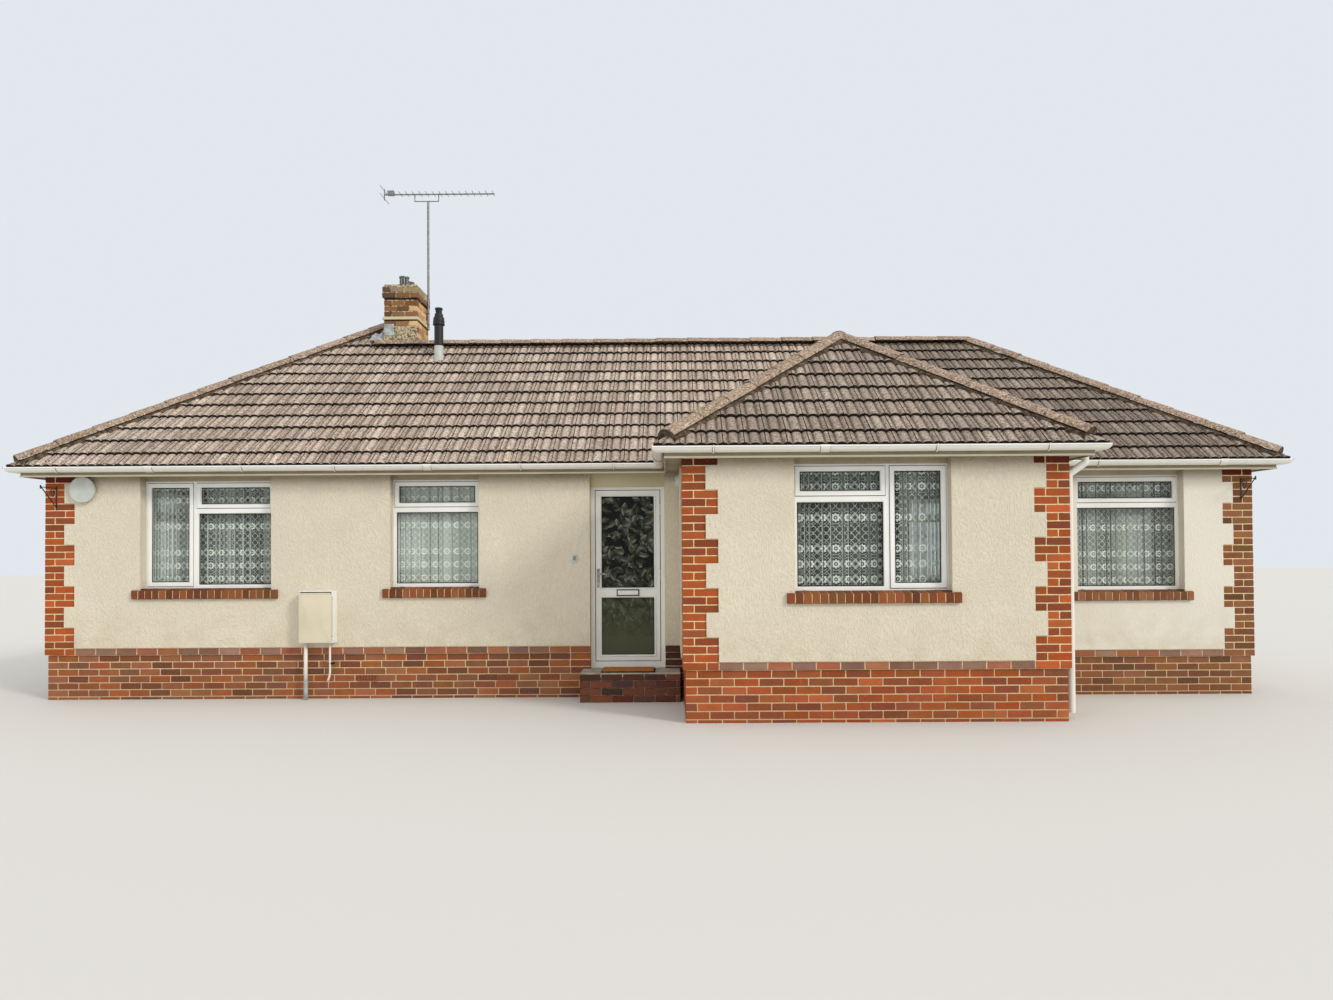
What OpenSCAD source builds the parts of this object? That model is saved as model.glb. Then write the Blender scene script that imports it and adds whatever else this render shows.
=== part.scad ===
// Brick and render bungalow with a hipped tiled roof, a front wing and a rear wing.
// The outline is a ring of ten wall lines, numbered from the left front corner.
// Each wall line has its own frame: x along the wall seen from outside, y into the house, z up.

/* [Plan] */
// Length of the house along the front
front_w = 13300; // [12600:10:14200]
// Front to back depth of the main range
main_d = 4700; // [4400:10:5000]
// Distance from the left end to the front wing
wing_x = 7025; // [6950:5:7200]
// Width of the front wing
wing_w = 3595; // [3400:5:3700]
// How far the front wing stands forward
wing_proj = 1600; // [1300:10:1900]
// Width of the rear wing
rear_w = 5970; // [5800:10:6100]
// How far the rear wing stands back
rear_proj = 3600; // [3000:10:4200]

/* [Walls] */
// Thickness of the outside walls
wall_t = 270; // [230:5:300]
// Height of one brick course with its joint
course = 76.2; // [72:0.1:80]
// Length of one brick with its joint
brick = 228.6; // [220:0.1:235]
// Height of the brick plinth
plinth_h = 495; // [450:1:540]
// How far the plinth is set back under the walls
plinth_set = 25; // [10:1:40]
// Thickness of the render coat
render_t = 18; // [10:1:25]
// Height of the soffit
soffit_z = 2465; // [2440:1:2500]
// Height of the floor
floor_z = 320; // [280:1:360]
// Thickness of the floor slab
floor_t = 150; // [100:5:200]
// Height of the ceiling over the floor
room_h = 2310; // [2280:5:2320]
// Thickness of the ceiling
ceiling_t = 40; // [20:1:60]

/* [Roof] */
// Pitch of the main and rear roofs in degrees
main_pitch = 35.3; // [34:0.1:37]
// Pitch of the front wing's roof in degrees
wing_pitch = 34.7; // [33:0.1:36]
// How far the tiles reach beyond the walls
eave_out = 215; // [200:1:230]
// Height of the tile surface at the eave
eave_z = 2610; // [2605:1:2640]
// Thickness of the tiles and battens, measured upright
tile_t = 72; // [60:1:80]
// Outer radius of the ridge and hip tiles
ridge_r = 125; // [110:1:140]
// How far the ridge tiles' axis lies under the ridge line
ridge_sink = 35; // [20:1:50]

/* [Eaves] */
// Width of the soffit boards
soffit_w = 148; // [130:1:160]
// Thickness of the soffit boards
soffit_t = 10; // [6:1:15]
// Thickness of the fascia boards
fascia_t = 18; // [12:1:25]
// Height of the fascia boards
fascia_h = 120; // [105:1:122]
// How far the fascia hangs below the soffit
fascia_drop = 14; // [5:1:20]
// Outer radius of the gutters
gutter_r = 56; // [50:1:60]
// Wall thickness of the gutters
gutter_t = 4; // [3:0.5:6]
// Height of the gutters' top edge
gutter_z = 2550; // [2540:1:2565]
// Diameter of the downpipes
downpipe_d = 68; // [60:1:75]

/* [Windows] */
// Distance from the left corner to the left window
left_win_x = 1055; // [1000:5:1200]
// Distance from the left corner to the middle window
middle_win_x = 3820; // [3700:10:4000]
// Width of the left window
wide_win_w = 1455; // [1350:5:1500]
// Width of the middle window
narrow_win_w = 985; // [950:5:1050]
// Width of the wing's window
wing_win_w = 1460; // [1400:5:1500]
// Distance from the wing's left corner to its window
wing_win_x = 1040; // [1000:5:1080]
// Width of the right window
right_win_w = 1175; // [1140:5:1230]
// Height of the top vents
vent_h = 320; // [290:5:350]
// Width of the left window's tall sash
tall_left = 555; // [500:5:600]
// Width of the wing window's tall sash
tall_right = 570; // [520:5:610]
// How far the window frames are set back from the wall face
reveal = 100; // [70:5:120]
// Depth of the window frames
frame_d = 65; // [55:1:75]
// Width of the outer frame members
frame_w = 42; // [35:1:55]
// Width of the opening sash members
sash_w = 50; // [40:1:60]
// Thickness of the double glazing
glass_t = 24; // [20:1:28]
// Height of the window sills
sill_z = 1220; // [1180:5:1260]
// Height of the window frames' top edge
head_z = 2412; // [2380:1:2430]
// Height of the brick sill's front face
sill_h = 112; // [100:1:125]
// How far the brick sill stands out from the wall
sill_out = 55; // [40:1:70]
// How far the brick sill runs past the opening on each side
sill_past = 75; // [50:1:100]
// Thickness of the folded net curtains
curtain_t = 44; // [30:1:60]
// Space between the frames and the net curtains
curtain_gap = 25; // [15:1:40]

/* [Front door] */
// Width of the wall between the doorway and the front wing
door_pier_w = 175; // [150:5:200]
// Width of the doorway
door_w = 830; // [810:5:880]
// Height of the top of the door frame
door_head_z = 2320; // [2280:1:2330]
// Width of the door frame members
door_frame_w = 50; // [40:1:60]
// Height of the top member of the door frame
door_frame_top = 32; // [28:1:45]
// Height of the threshold
threshold_h = 62; // [50:1:75]
// Thickness of the door leaf
leaf_t = 60; // [44:1:62]
// Gap round the door leaf
door_gap = 8; // [7:0.5:10]
// Width of the door's stiles and rails
stile_w = 64; // [55:1:80]
// Depth of the doorstep
step_d = 360; // [300:5:420]

/* [Chimney and flue] */
// Width of the chimney stack
stack_w = 440; // [400:5:470]
// Depth of the chimney stack
stack_d = 600; // [560:5:640]
// Distance from the left end of the house to the stack
stack_x = 3020; // [3000:5:3060]
// Distance from the main front wall to the stack
stack_y = 2392; // [2385:1:2450]
// Height of the top of the stack
stack_z = 5270; // [5200:5:5350]
// Height of the aerial's boom
aerial_z = 6690; // [6500:10:6800]
// Length of the aerial's boom
boom_l = 1570; // [1400:10:1700]
// Diameter of the flue
flue_d = 118; // [100:1:130]
// Height of the top of the flue's cowl
flue_z = 4830; // [4780:5:4900]

/* [Wall pieces] */
// Width of the meter box
meter_w = 370; // [340:5:400]
// Height of the meter box
meter_h = 565; // [520:5:600]
// Depth of the meter box
meter_d = 140; // [120:5:200]
// Diameter of the round wall cover
disc_d = 285; // [250:5:300]
// Distance from the left corner to the middle of the round cover
disc_x = 443; // [430:1:460]
// Height of the middle of the round cover
disc_z = 2317; // [2280:1:2320]
// Diameter of the small lamp on the side of the wing
lamp_d = 130; // [110:5:150]
// How far the lamp stands out from the render
lamp_h = 45; // [35:1:60]
// Distance from the main wall to the middle of the lamp
lamp_y = 520; // [400:10:700]
// Height of the middle of the lamp
lamp_z = 2290; // [2200:10:2320]
// Clearance between pieces that lie against each other
seat = 0.3; // [0.1:0.1:0.5]

/* [Hidden] */

// Facets of round pieces
$fn = 48;

// Corners of the wall ring, from the left front corner and round by the right
total_d = wing_proj + main_d + rear_proj;
shift = [-front_w / 2, wing_proj - total_d / 2];
CORNERS = [for (p = [[0, 0], [wing_x, 0], [wing_x, -wing_proj],
        [wing_x + wing_w, -wing_proj], [wing_x + wing_w, 0], [front_w, 0],
        [front_w, main_d], [rear_w, main_d], [rear_w, main_d + rear_proj],
        [0, main_d + rear_proj]]) p + shift];
WALLS = len(CORNERS);
// 1 at a corner that points outwards and -1 at an inside corner
CONVEX = [1, -1, 1, 1, -1, 1, 1, -1, 1, 1];
// Direction of each wall line in degrees
HEADING = [0, -90, 0, 90, 0, 90, 180, 90, 180, -90];
// The right range, its end and the rear wall have their bricks one course lower
DROPPED = [0, 0, 0, 0, 1, 1, 1, 0, 0, 0];

function corner(i) = CORNERS[i % WALLS];
function wall_len(i) = norm(corner(i + 1) - corner(i));
function start_turn(i) = CONVEX[i % WALLS];
function end_turn(i) = CONVEX[(i + 1) % WALLS];
function band_z(i) = plinth_h - DROPPED[i] * course;

main_slope = tan(main_pitch);
wing_slope = tan(wing_pitch);
main_run = main_d / 2 + eave_out;
rear_run = rear_w / 2 + eave_out;
wing_run = wing_w / 2 + eave_out;
// Top of the walls, just under the tiles
wall_top = eave_z + eave_out * wing_slope - tile_t - seat;
ceiling_z = floor_z + room_h;
far = 30000;
door_x = wing_x - door_pier_w - door_w;

// Windows: wall line, distance along it, width, drop of the sill in courses
LEFT_WINDOW = [0, left_win_x, wide_win_w, 0];
MIDDLE_WINDOW = [0, middle_win_x, narrow_win_w, 0];
WING_WINDOW = [2, wing_win_x, wing_win_w, 0];
right_len = front_w - wing_x - wing_w;
RIGHT_WINDOW = [4, (right_len - right_win_w) / 2, right_win_w, 1];
rear_len = front_w - rear_w;
left_len = main_d + rear_proj;
PLAIN_WINDOWS = [[5, (main_d - narrow_win_w) / 2, narrow_win_w, 1],
    [6, 0.2 * rear_len, right_win_w, 1], [6, 0.59 * rear_len, narrow_win_w, 1],
    [8, 0.15 * rear_w, wide_win_w, 0], [8, 0.65 * rear_w, narrow_win_w, 0],
    [9, 0.17 * left_len, narrow_win_w, 0], [9, 0.67 * left_len, narrow_win_w, 0]];
FRONT_WINDOWS = [LEFT_WINDOW, MIDDLE_WINDOW, WING_WINDOW, RIGHT_WINDOW];
ALL_WINDOWS = concat(FRONT_WINDOWS, PLAIN_WINDOWS);
function win_z(w) = sill_z - w[3] * course;
function win_h(w) = head_z - win_z(w);

// Quoins: three courses 1 1/2 bricks wide, then three courses 1 brick wide
quoin_wide = 1.5 * brick - 10;
quoin_narrow = brick - 10;
function quoin_w(k) = floor(k / 3) % 2 == 0 ? quoin_wide : quoin_narrow;

module on_wall(i)
    translate([corner(i)[0], corner(i)[1], 0]) rotate([0, 0, HEADING[i]]) children();

// A mitred strip along one wall line, between two distances outwards from the wall face
module strip(i, inner, outer, z0, z1)
    translate([0, 0, z0]) linear_extrude(z1 - z0) polygon([
        [-start_turn(i) * outer, -outer], [wall_len(i) + end_turn(i) * outer, -outer],
        [wall_len(i) + end_turn(i) * inner, -inner], [-start_turn(i) * inner, -inner]]);

module window_holes(i)
    for (w = ALL_WINDOWS) if (w[0] == i)
        translate([w[1], -far / 2, win_z(w)]) cube([w[2], far, win_h(w)]);

// The shallow rebate over each window, up to the soffit
module head_rebates(i)
    for (w = ALL_WINDOWS) if (w[0] == i)
        translate([w[1], -reveal, head_z]) cube([w[2], 2 * reveal, soffit_z - head_z]);

module sill_beds(i)
    for (w = ALL_WINDOWS) if (w[0] == i) {
        translate([w[1] - sill_past, -reveal, win_z(w) - sill_h])
            cube([w[2] + 2 * sill_past, reveal + brick / 2, sill_h]);
    }

module wall_line(i) {
    on_wall(i) difference() {
        union() {
            strip(i, -wall_t, 0, band_z(i), wall_top);
            strip(i, -wall_t, -plinth_set, 0, band_z(i));
        }
        window_holes(i);
        head_rebates(i);
        sill_beds(i);
    }
}

module doorway(z0, z1)
    on_wall(0) translate([door_x, -far / 2, z0]) cube([door_w, far, z1 - z0]);

module front_wall() color("sienna") intersection() {
    wall_line(0);
    on_wall(0) translate([-wall_t, -far / 2, -1]) cube([door_x + wall_t, far, far]);
}

module door_pier() color("sienna") difference() {
    intersection() {
        wall_line(0);
        on_wall(0) translate([door_x, -far / 2, -1]) cube([far, far, far]);
    }
    doorway(step_top - slab_t - seat, wall_top + 1);
}

// The rendered head over the doorway, set back like the windows
module door_head() color("beige") on_wall(0)
    translate([door_x + seat, reveal / 2, door_head_z + seat])
        cube([door_w - 2 * seat, wall_t - reveal / 2, wall_top - door_head_z - seat]);

module wing_front_wall() color("sienna") wall_line(2);
module wing_side_walls() color("sienna") { wall_line(1); wall_line(3); }
module right_front_wall() color("sienna") wall_line(4);
module right_end_wall() color("sienna") wall_line(5);
module rear_wall() color("sienna") wall_line(6);
module rear_wing_walls() color("sienna") { wall_line(7); wall_line(8); }
module left_end_wall() color("sienna") wall_line(9);

// Render between the quoins of one wall line, toothed where it meets them
module render_panel(i) {
    base = band_z(i) + course;
    rows = ceil((soffit_z - base) / course);
    on_wall(i) difference() {
        for (k = [0 : rows - 1]) {
            x0 = start_turn(i) > 0 ? quoin_w(k) : render_t + seat;
            x1 = wall_len(i) - (end_turn(i) > 0 ? quoin_w(k) : render_t + seat);
            z0 = base + k * course;
            translate([x0, -render_t, z0])
                cube([x1 - x0, render_t - seat, min(course, soffit_z - seat - z0)]);
        }
        window_holes(i);
        head_rebates(i);
        sill_beds(i);
    }
}

module front_render() color("cornsilk") {
    difference() {
        render_panel(0);
        doorway(0, far / 2);
    }
    for (i = [1 : 4]) render_panel(i);
}
module side_and_rear_render() color("cornsilk") for (i = [5 : 9]) render_panel(i);

// The plan of the rooms, a little inside the walls
module room_plan(inset) {
    d = wall_t + inset;
    translate(shift) union() {
        translate([d, d]) square([front_w - 2 * d, main_d - 2 * d]);
        translate([wing_x + d, d - wing_proj])
            square([wing_w - 2 * d, wing_proj + main_d / 2 - d]);
        translate([d, main_d / 2]) square([rear_w - 2 * d, main_d / 2 + rear_proj - d]);
    }
}
module floor_slab() color("tan") translate([0, 0, floor_z - floor_t])
    linear_extrude(floor_t) room_plan(seat);
module ceiling() color("white") translate([0, 0, ceiling_z])
    linear_extrude(ceiling_t) room_plan(seat);

module stack_plan(gap) translate([shift[0] + stack_x - gap, shift[1] + stack_y - gap, 0])
    children();
module stack_hole() stack_plan(2) cube([stack_w + 4, stack_d + 4, far]);

west = -eave_out;
east = front_w + eave_out;
front = -eave_out;
main_ridge_y = front + main_run;
rear_ridge_x = west + rear_run;
// Where the main ridge meets the rear wing's right slope
meet_x = rear_ridge_x + rear_run - main_run;
main_end_x = east - main_run;
wing_ridge_x = wing_x + wing_w / 2;
// Depth at which the wing's ridge runs into the main front slope
wing_meet_y = front + wing_run * wing_slope / main_slope;
rear_end_y = main_d + rear_proj + eave_out - rear_run;

back = main_d + eave_out;
wing_front = front - wing_proj;
wing_west = wing_x - eave_out;
wing_east = wing_x + wing_w + eave_out;
wing_hip_y = wing_front + wing_run;
rear_east = west + 2 * rear_run;
rear_back = rear_end_y + rear_run;

// One tiled slope: the tiles over a plan outline given from the left front corner of the
// walls. The eave passes through the place given, with the slope on its left
module slope(eave, heading, run, rise, plan) intersection() {
    translate([shift[0], shift[1], 0]) linear_extrude(far / 3) polygon(plan);
    translate([eave[0] + shift[0], eave[1] + shift[1], eave_z]) rotate([0, 0, heading])
        rotate([90, 0, 90]) translate([0, 0, -far / 2]) linear_extrude(far) polygon([
            [0, -tile_t], [0, 0], [run, run * rise], [run, run * rise - tile_t]]);
}

module main_roof_front() color("rosybrown") difference() {
    slope([west, front], 0, rear_run, main_slope, [[west, front], [wing_west, front],
        [wing_ridge_x, wing_meet_y], [wing_east, front], [east, front],
        [main_end_x, main_ridge_y], [meet_x, main_ridge_y],
        [rear_ridge_x, front + rear_run]]);
    stack_hole();
    flue_hole();
}
module main_roof_rear() color("rosybrown")
    slope([east, back], 180, main_run, main_slope, [[main_end_x, main_ridge_y],
        [east, back], [rear_east, back], [meet_x, main_ridge_y]]);
module right_hip_slope() color("rosybrown")
    slope([east, front], 90, main_run, main_slope, [[east, front], [east, back],
        [main_end_x, main_ridge_y]]);
module left_roof_slope() color("rosybrown")
    slope([west, front], -90, rear_run, main_slope, [[west, front],
        [rear_ridge_x, front + rear_run], [rear_ridge_x, rear_end_y], [west, rear_back]]);
module rear_wing_roof() color("rosybrown") difference() {
    union() {
        slope([rear_east, back], 90, rear_run, main_slope, [[rear_ridge_x, front + rear_run],
            [meet_x, main_ridge_y], [rear_east, back], [rear_east, rear_back],
            [rear_ridge_x, rear_end_y]]);
        slope([west, rear_back], 180, rear_run, main_slope, [[west, rear_back],
            [rear_ridge_x, rear_end_y], [rear_east, rear_back]]);
    }
    stack_hole();
}
module wing_roof() color("rosybrown") {
    slope([wing_west, front], -90, wing_run, wing_slope, [[wing_west, wing_front],
        [wing_ridge_x, wing_hip_y], [wing_ridge_x, wing_meet_y], [wing_west, front]]);
    slope([wing_west, wing_front], 0, wing_run, wing_slope, [[wing_west, wing_front],
        [wing_east, wing_front], [wing_ridge_x, wing_hip_y]]);
    slope([wing_east, front], 90, wing_run, wing_slope, [[wing_east, wing_front],
        [wing_east, front], [wing_ridge_x, wing_meet_y], [wing_ridge_x, wing_hip_y]]);
}

function at_roof(x, y, rise) = [x + shift[0], y + shift[1], eave_z + rise];

// A ridge or hip cap between two points. fall is how steeply both slopes fall away from
// the line, seen along it
cap_w = 0.88 * ridge_r;
module cap(a, b, fall) {
    v = b - a;
    arc = [for (k = [28, 60, 90, 120, 152])
        [ridge_r * cos(k), ridge_r * sin(k) - ridge_sink]];
    translate(a) rotate([0, -asin(v[2] / norm(v)), atan2(v[1], v[0])]) rotate([90, 0, 90])
        linear_extrude(norm(v)) polygon(concat([[0, seat], [cap_w, seat - cap_w * fall]],
            arc, [[-cap_w, seat - cap_w * fall]]));
}
function hip_fall(slope) = slope / sqrt(2 + slope * slope);
// How far the lower end of a hip stays inside the corner of the eaves
hip_start = 90;
module hip(x, y, dx, dy, run, slope)
    cap(at_roof(x + dx * hip_start, y + dy * hip_start, hip_start * slope),
        at_roof(x + dx * run, y + dy * run, run * slope), hip_fall(slope));

module ridge_tiles() color("indianred") difference() {
    union() {
        // Main ridge, rear ridge and wing ridge
        cap(at_roof(meet_x + cap_w + 2, main_ridge_y, main_run * main_slope),
            at_roof(main_end_x, main_ridge_y, main_run * main_slope), main_slope);
        cap(at_roof(rear_ridge_x, front + rear_run, rear_run * main_slope),
            at_roof(rear_ridge_x, rear_end_y, rear_run * main_slope), main_slope);
        cap(at_roof(wing_ridge_x, wing_hip_y, wing_run * wing_slope),
            at_roof(wing_ridge_x, wing_meet_y - cap_w - 2, wing_run * wing_slope), wing_slope);
        // Hips of the main and rear roofs, then of the wing
        hip(west, front, 1, 1, rear_run, main_slope);
        hip(east, front, -1, 1, main_run, main_slope);
        hip(east, back, -1, -1, main_run, main_slope);
        hip(west, rear_back, 1, -1, rear_run, main_slope);
        hip(rear_east, rear_back, -1, -1, rear_run, main_slope);
        hip(wing_west, wing_front, 1, 1, wing_run, wing_slope);
        hip(wing_east, wing_front, -1, 1, wing_run, wing_slope);
    }
    stack_hole();
}

flue_x = 3870;
flue_y = 1966;
flue_foot = eave_z + (flue_y + eave_out) * main_slope;
module at_flue() translate([shift[0] + flue_x, shift[1] + flue_y, 0]) children();
module flue_hole() at_flue() cylinder(h = far, d = flue_d + 2 * seat);

// A ring of boards round the house, between two distances outwards from the walls
module board_ring(inner, outer, z, h) difference() {
    translate([0, 0, z]) linear_extrude(h) room_plan(-wall_t - outer);
    translate([0, 0, z - 1]) linear_extrude(h + 2) room_plan(-wall_t - inner);
}
module fascia_boards() color("ivory")
    board_ring(soffit_w, soffit_w + fascia_t, soffit_z - fascia_drop, fascia_h);
module soffit_boards() color("ivory") board_ring(0, soffit_w, soffit_z, soffit_t);

gutter_axis = soffit_w + fascia_t + gutter_r;
module gutter_run(i, r, lift) intersection() {
    strip(i, gutter_axis - r, gutter_axis + r, gutter_z - gutter_r, gutter_z + lift);
    translate([-far / 2, -gutter_axis, gutter_z]) rotate([0, 90, 0])
        cylinder(h = far, r = r);
}
module gutters() color("white") difference() {
    for (i = [0 : WALLS - 1]) on_wall(i) gutter_run(i, gutter_r, 0);
    for (i = [0 : WALLS - 1]) on_wall(i) translate([0, 0, 0.01])
        gutter_run(i, gutter_r - gutter_t, 20);
}

// Downpipes: wall line, distance along it
DOWNPIPES = [[3, 160], [6, rear_len - 330], [8, rear_w - 170]];
pipe_off = render_t + downpipe_d / 2 + 12;
module downpipe(i, x) on_wall(i) translate([x, 0, 0]) {
    top = gutter_z - gutter_r;
    knee = soffit_z - 160;
    translate([0, -gutter_axis, soffit_z - 50]) cylinder(h = top - soffit_z + 50 - seat,
        d = downpipe_d);
    neck(knee);
    translate([0, -pipe_off, 60]) cylinder(h = knee - 60, d = downpipe_d);
    for (z = [500, 1300, 2100]) translate([-50, -pipe_off, z])
        cube([100, pipe_off - render_t - seat, 30]);
}
module neck(knee) {
    a = [0, -gutter_axis, soffit_z - 50];
    b = [0, -pipe_off, knee];
    v = b - a;
    translate(a) rotate([0, acos(v[2] / norm(v)), 90]) cylinder(h = norm(v), d = downpipe_d);
    for (p = [a, b]) translate(p) sphere(d = downpipe_d);
}
module downpipes() color("white") for (d = DOWNPIPES) downpipe(d[0], d[1]);

cap_z = stack_z - 2.4 * course;
module chimney_stack() color("peru") stack_plan(0) union() {
    translate([0, 0, ceiling_z + ceiling_t + seat])
        cube([stack_w, stack_d, cap_z - ceiling_z - ceiling_t - seat]);
    translate([-20, -20, cap_z]) cube([stack_w + 40, stack_d + 40, course]);
    translate([0, 0, cap_z]) cube([stack_w, stack_d, stack_z - cap_z]);
    translate([-20, -20, cap_z + course]) cube([stack_w + 40, stack_d + 40, course]);
}
module chimney_pots() color("silver") stack_plan(0) for (y = [0.3, 0.72])
    translate([stack_w / 2, stack_d * y, stack_z + seat]) pot();
module pot() {
    difference() {
        cylinder(h = 150, d = 130);
        translate([0, 0, 12]) cylinder(h = 120, d = 118);
    }
    translate([0, 0, 150]) cylinder(h = 14, d = 150);
}

module flue_pipe() color("dimgray") at_flue() {
    z0 = flue_foot - 400;
    translate([0, 0, z0]) cylinder(h = flue_z - 230 - z0, d = flue_d);
    translate([0, 0, flue_z - 231]) cylinder(h = 32, d = 1.58 * flue_d);
    translate([0, 0, flue_z - 200]) cylinder(h = 65, d1 = 1.45 * flue_d, d2 = 0.9 * flue_d);
    translate([0, 0, flue_z - 136]) cylinder(h = 112, d = 0.74 * flue_d);
    translate([0, 0, flue_z - 25]) cylinder(h = 25, d = 0.86 * flue_d);
}

mast_d = 32;
mast_x = stack_x + stack_w + 20 + seat + mast_d / 2;
mast_y = stack_y + stack_d - 120;
element_l = 200;
element_n = 15;
module at_mast() translate([shift[0] + mast_x, shift[1] + mast_y, 0]) children();
cradle_z = aerial_z - 100;
module aerial_mast() color("silver") at_mast() {
    translate([0, 0, cap_z - 300]) cylinder(h = cradle_z - 7 - seat - cap_z + 300, d = mast_d);
    for (z = [cap_z - 260, cap_z - 100])
        translate([-mast_d / 2 - 20, -25, z]) cube([20 + mast_d, 50, 12]);
}
module aerial() color("silver") at_mast() {
    boom_x0 = -boom_l * 0.4;
    // Cradle under the boom
    for (x = [-190, 150]) translate([x, 0, cradle_z]) cylinder(h = 100, d = 14);
    translate([-190, 0, cradle_z]) rotate([0, 90, 0]) cylinder(h = 340, d = 14);
    translate([boom_x0, -8, aerial_z - 8]) cube([boom_l, 16, 16]);
    // Elements
    for (k = [0 : element_n - 1])
        translate([boom_x0 + boom_l * (0.15 + 0.84 * k / (element_n - 1)), 0, aerial_z + 6])
            rotate([90, 0, 0]) cylinder(h = element_l, d = 8, center = true);
    translate([boom_x0 + 100, 0, aerial_z + 20]) cube([90, 60, 60], center = true);
    // Reflector
    for (z = [-56, 56]) translate([boom_x0 + 6, 0, aerial_z + z]) rotate([90, 0, 0])
        cylinder(h = 2 * element_l, d = 8, center = true);
    translate([boom_x0, -6, aerial_z - 80]) cube([12, 12, 160]);
}

// Outside size of a window frame, which just clears its opening
function glaze_w(w) = w[2] - 2 * seat;
function glaze_h(w) = win_h(w) - 2 * seat;
// A casement window in its opening. Each light is given by its left and lower edge, its
// width and height, and 1 for a sash or 0 for a pane fixed in the frame
module window_bars(w, lights) on_wall(w[0]) translate([w[1] + seat, reveal, win_z(w) + seat])
    difference() {
        cube([glaze_w(w), frame_d, glaze_h(w)]);
        for (l = lights) light_hole(w, l);
    }
module light_hole(w, l) {
    edge = l[4] == 1 ? frame_w / 2 + sash_w : frame_w;
    translate([l[0] + edge, -1, l[1] + edge]) cube([l[2] - 2 * edge, frame_d + 2, l[3] - 2 * edge]);
}
// Opening sashes stand a little forward of the outer frame
module window_sashes(w, lights) on_wall(w[0]) translate([w[1] + seat, reveal, win_z(w) + seat])
    for (l = lights) if (l[4] == 1) difference() {
        translate([l[0] + frame_w / 2, -12, l[1] + frame_w / 2])
            cube([l[2] - frame_w, 12.5, l[3] - frame_w]);
        translate([l[0] + frame_w / 2 + sash_w, -13, l[1] + frame_w / 2 + sash_w])
            cube([l[2] - frame_w - 2 * sash_w, 20, l[3] - frame_w - 2 * sash_w]);
    }
module casement(w, lights) color("white") union() {
    window_bars(w, lights);
    window_sashes(w, lights);
}
// Lights of each kind of window: a vent over a pane, with or without a tall sash beside it
function pane_h(w) = glaze_h(w) - vent_h;
function vent_over_pane(w) = [[0, pane_h(w), glaze_w(w), vent_h, 1],
    [0, 0, glaze_w(w), pane_h(w), 0]];
function tall_at_left(w) = [[0, 0, tall_left, glaze_h(w), 1],
    [tall_left, pane_h(w), glaze_w(w) - tall_left, vent_h, 1],
    [tall_left, 0, glaze_w(w) - tall_left, pane_h(w), 0]];
function tall_at_right(w) = [[glaze_w(w) - tall_right, 0, tall_right, glaze_h(w), 1],
    [0, pane_h(w), glaze_w(w) - tall_right, vent_h, 1],
    [0, 0, glaze_w(w) - tall_right, pane_h(w), 0]];
function lights_of(w) = w == WING_WINDOW ? tall_at_right(w)
    : w[2] == wide_win_w ? tall_at_left(w) : vent_over_pane(w);

module window_frames() for (w = ALL_WINDOWS) casement(w, lights_of(w));

module pane(w, l) {
    edge = l[4] == 1 ? frame_w / 2 + sash_w : frame_w;
    on_wall(w[0]) translate([w[1] + l[0] + edge + 2 * seat,
            reveal + (frame_d - glass_t) / 2, win_z(w) + l[1] + edge + 2 * seat])
        cube([l[2] - 2 * edge - 2 * seat, glass_t, l[3] - 2 * edge - 2 * seat]);
}
module window_glass() color("lightsteelblue", 0.5)
    for (w = ALL_WINDOWS) for (l = lights_of(w)) pane(w, l);

// Brick-on-edge sill with a sloping top
module sill(w) on_wall(w[0])
    translate([w[1] - sill_past + seat, 0, win_z(w) - sill_h + seat])
    rotate([90, 0, 90]) linear_extrude(w[2] + 2 * (sill_past - seat)) polygon([
        [-sill_out, 0], [-sill_out, sill_h - 18], [0, sill_h - 2 * seat],
        [brick / 2 - seat, sill_h - 2 * seat], [brick / 2 - seat, 0]]);
module window_sills() color("firebrick") for (w = ALL_WINDOWS) sill(w);

module net_curtain(w) on_wall(w[0])
    translate([w[1] + 10, reveal + frame_d + curtain_gap, win_z(w) + 15])
        cube([w[2] - 20, curtain_t, win_h(w) - 15 - seat]);
module net_curtains() color("whitesmoke", 0.7) for (w = ALL_WINDOWS) net_curtain(w);

leaf_y = reveal + frame_d - leaf_t;
leaf_x0 = door_x + door_frame_w + door_gap;
leaf_w = door_w - 2 * (door_frame_w + door_gap);
leaf_z0 = floor_z + threshold_h + door_gap;
leaf_h = door_head_z - door_frame_top - door_gap - leaf_z0;
// The door hinges: a pin held between the two fixed knuckles, and a moving one between them
hinge_x = leaf_x0 + leaf_w + door_gap / 2;
hinge_y = reveal + frame_d + 10;
HINGES = [leaf_z0 + 150, leaf_z0 + leaf_h / 2 - 60, leaf_z0 + leaf_h - 270];
knuckle_h = 40;
pin_d = 9;
module knuckle(x, y, z, h, r, arm, arm_t) translate([x, y, z]) union() {
    cylinder(h = h, r = r);
    translate([min(0, arm), -10, 0]) cube([abs(arm), arm_t, h]);
}
module hinge_pins() for (z = HINGES) {
    for (k = [0, 2]) knuckle(hinge_x, hinge_y, z + k * (knuckle_h + seat), knuckle_h, 7,
        36, 5);
    translate([hinge_x, hinge_y, z]) cylinder(h = 3 * knuckle_h + 2 * seat, d = pin_d);
}
module hinge_leaves() for (z = HINGES) difference() {
    knuckle(hinge_x, hinge_y, z + knuckle_h + seat, knuckle_h, 7, -36, 5);
    translate([hinge_x, hinge_y, z]) cylinder(h = 3 * knuckle_h, d = pin_d + 2 * seat);
}
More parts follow.
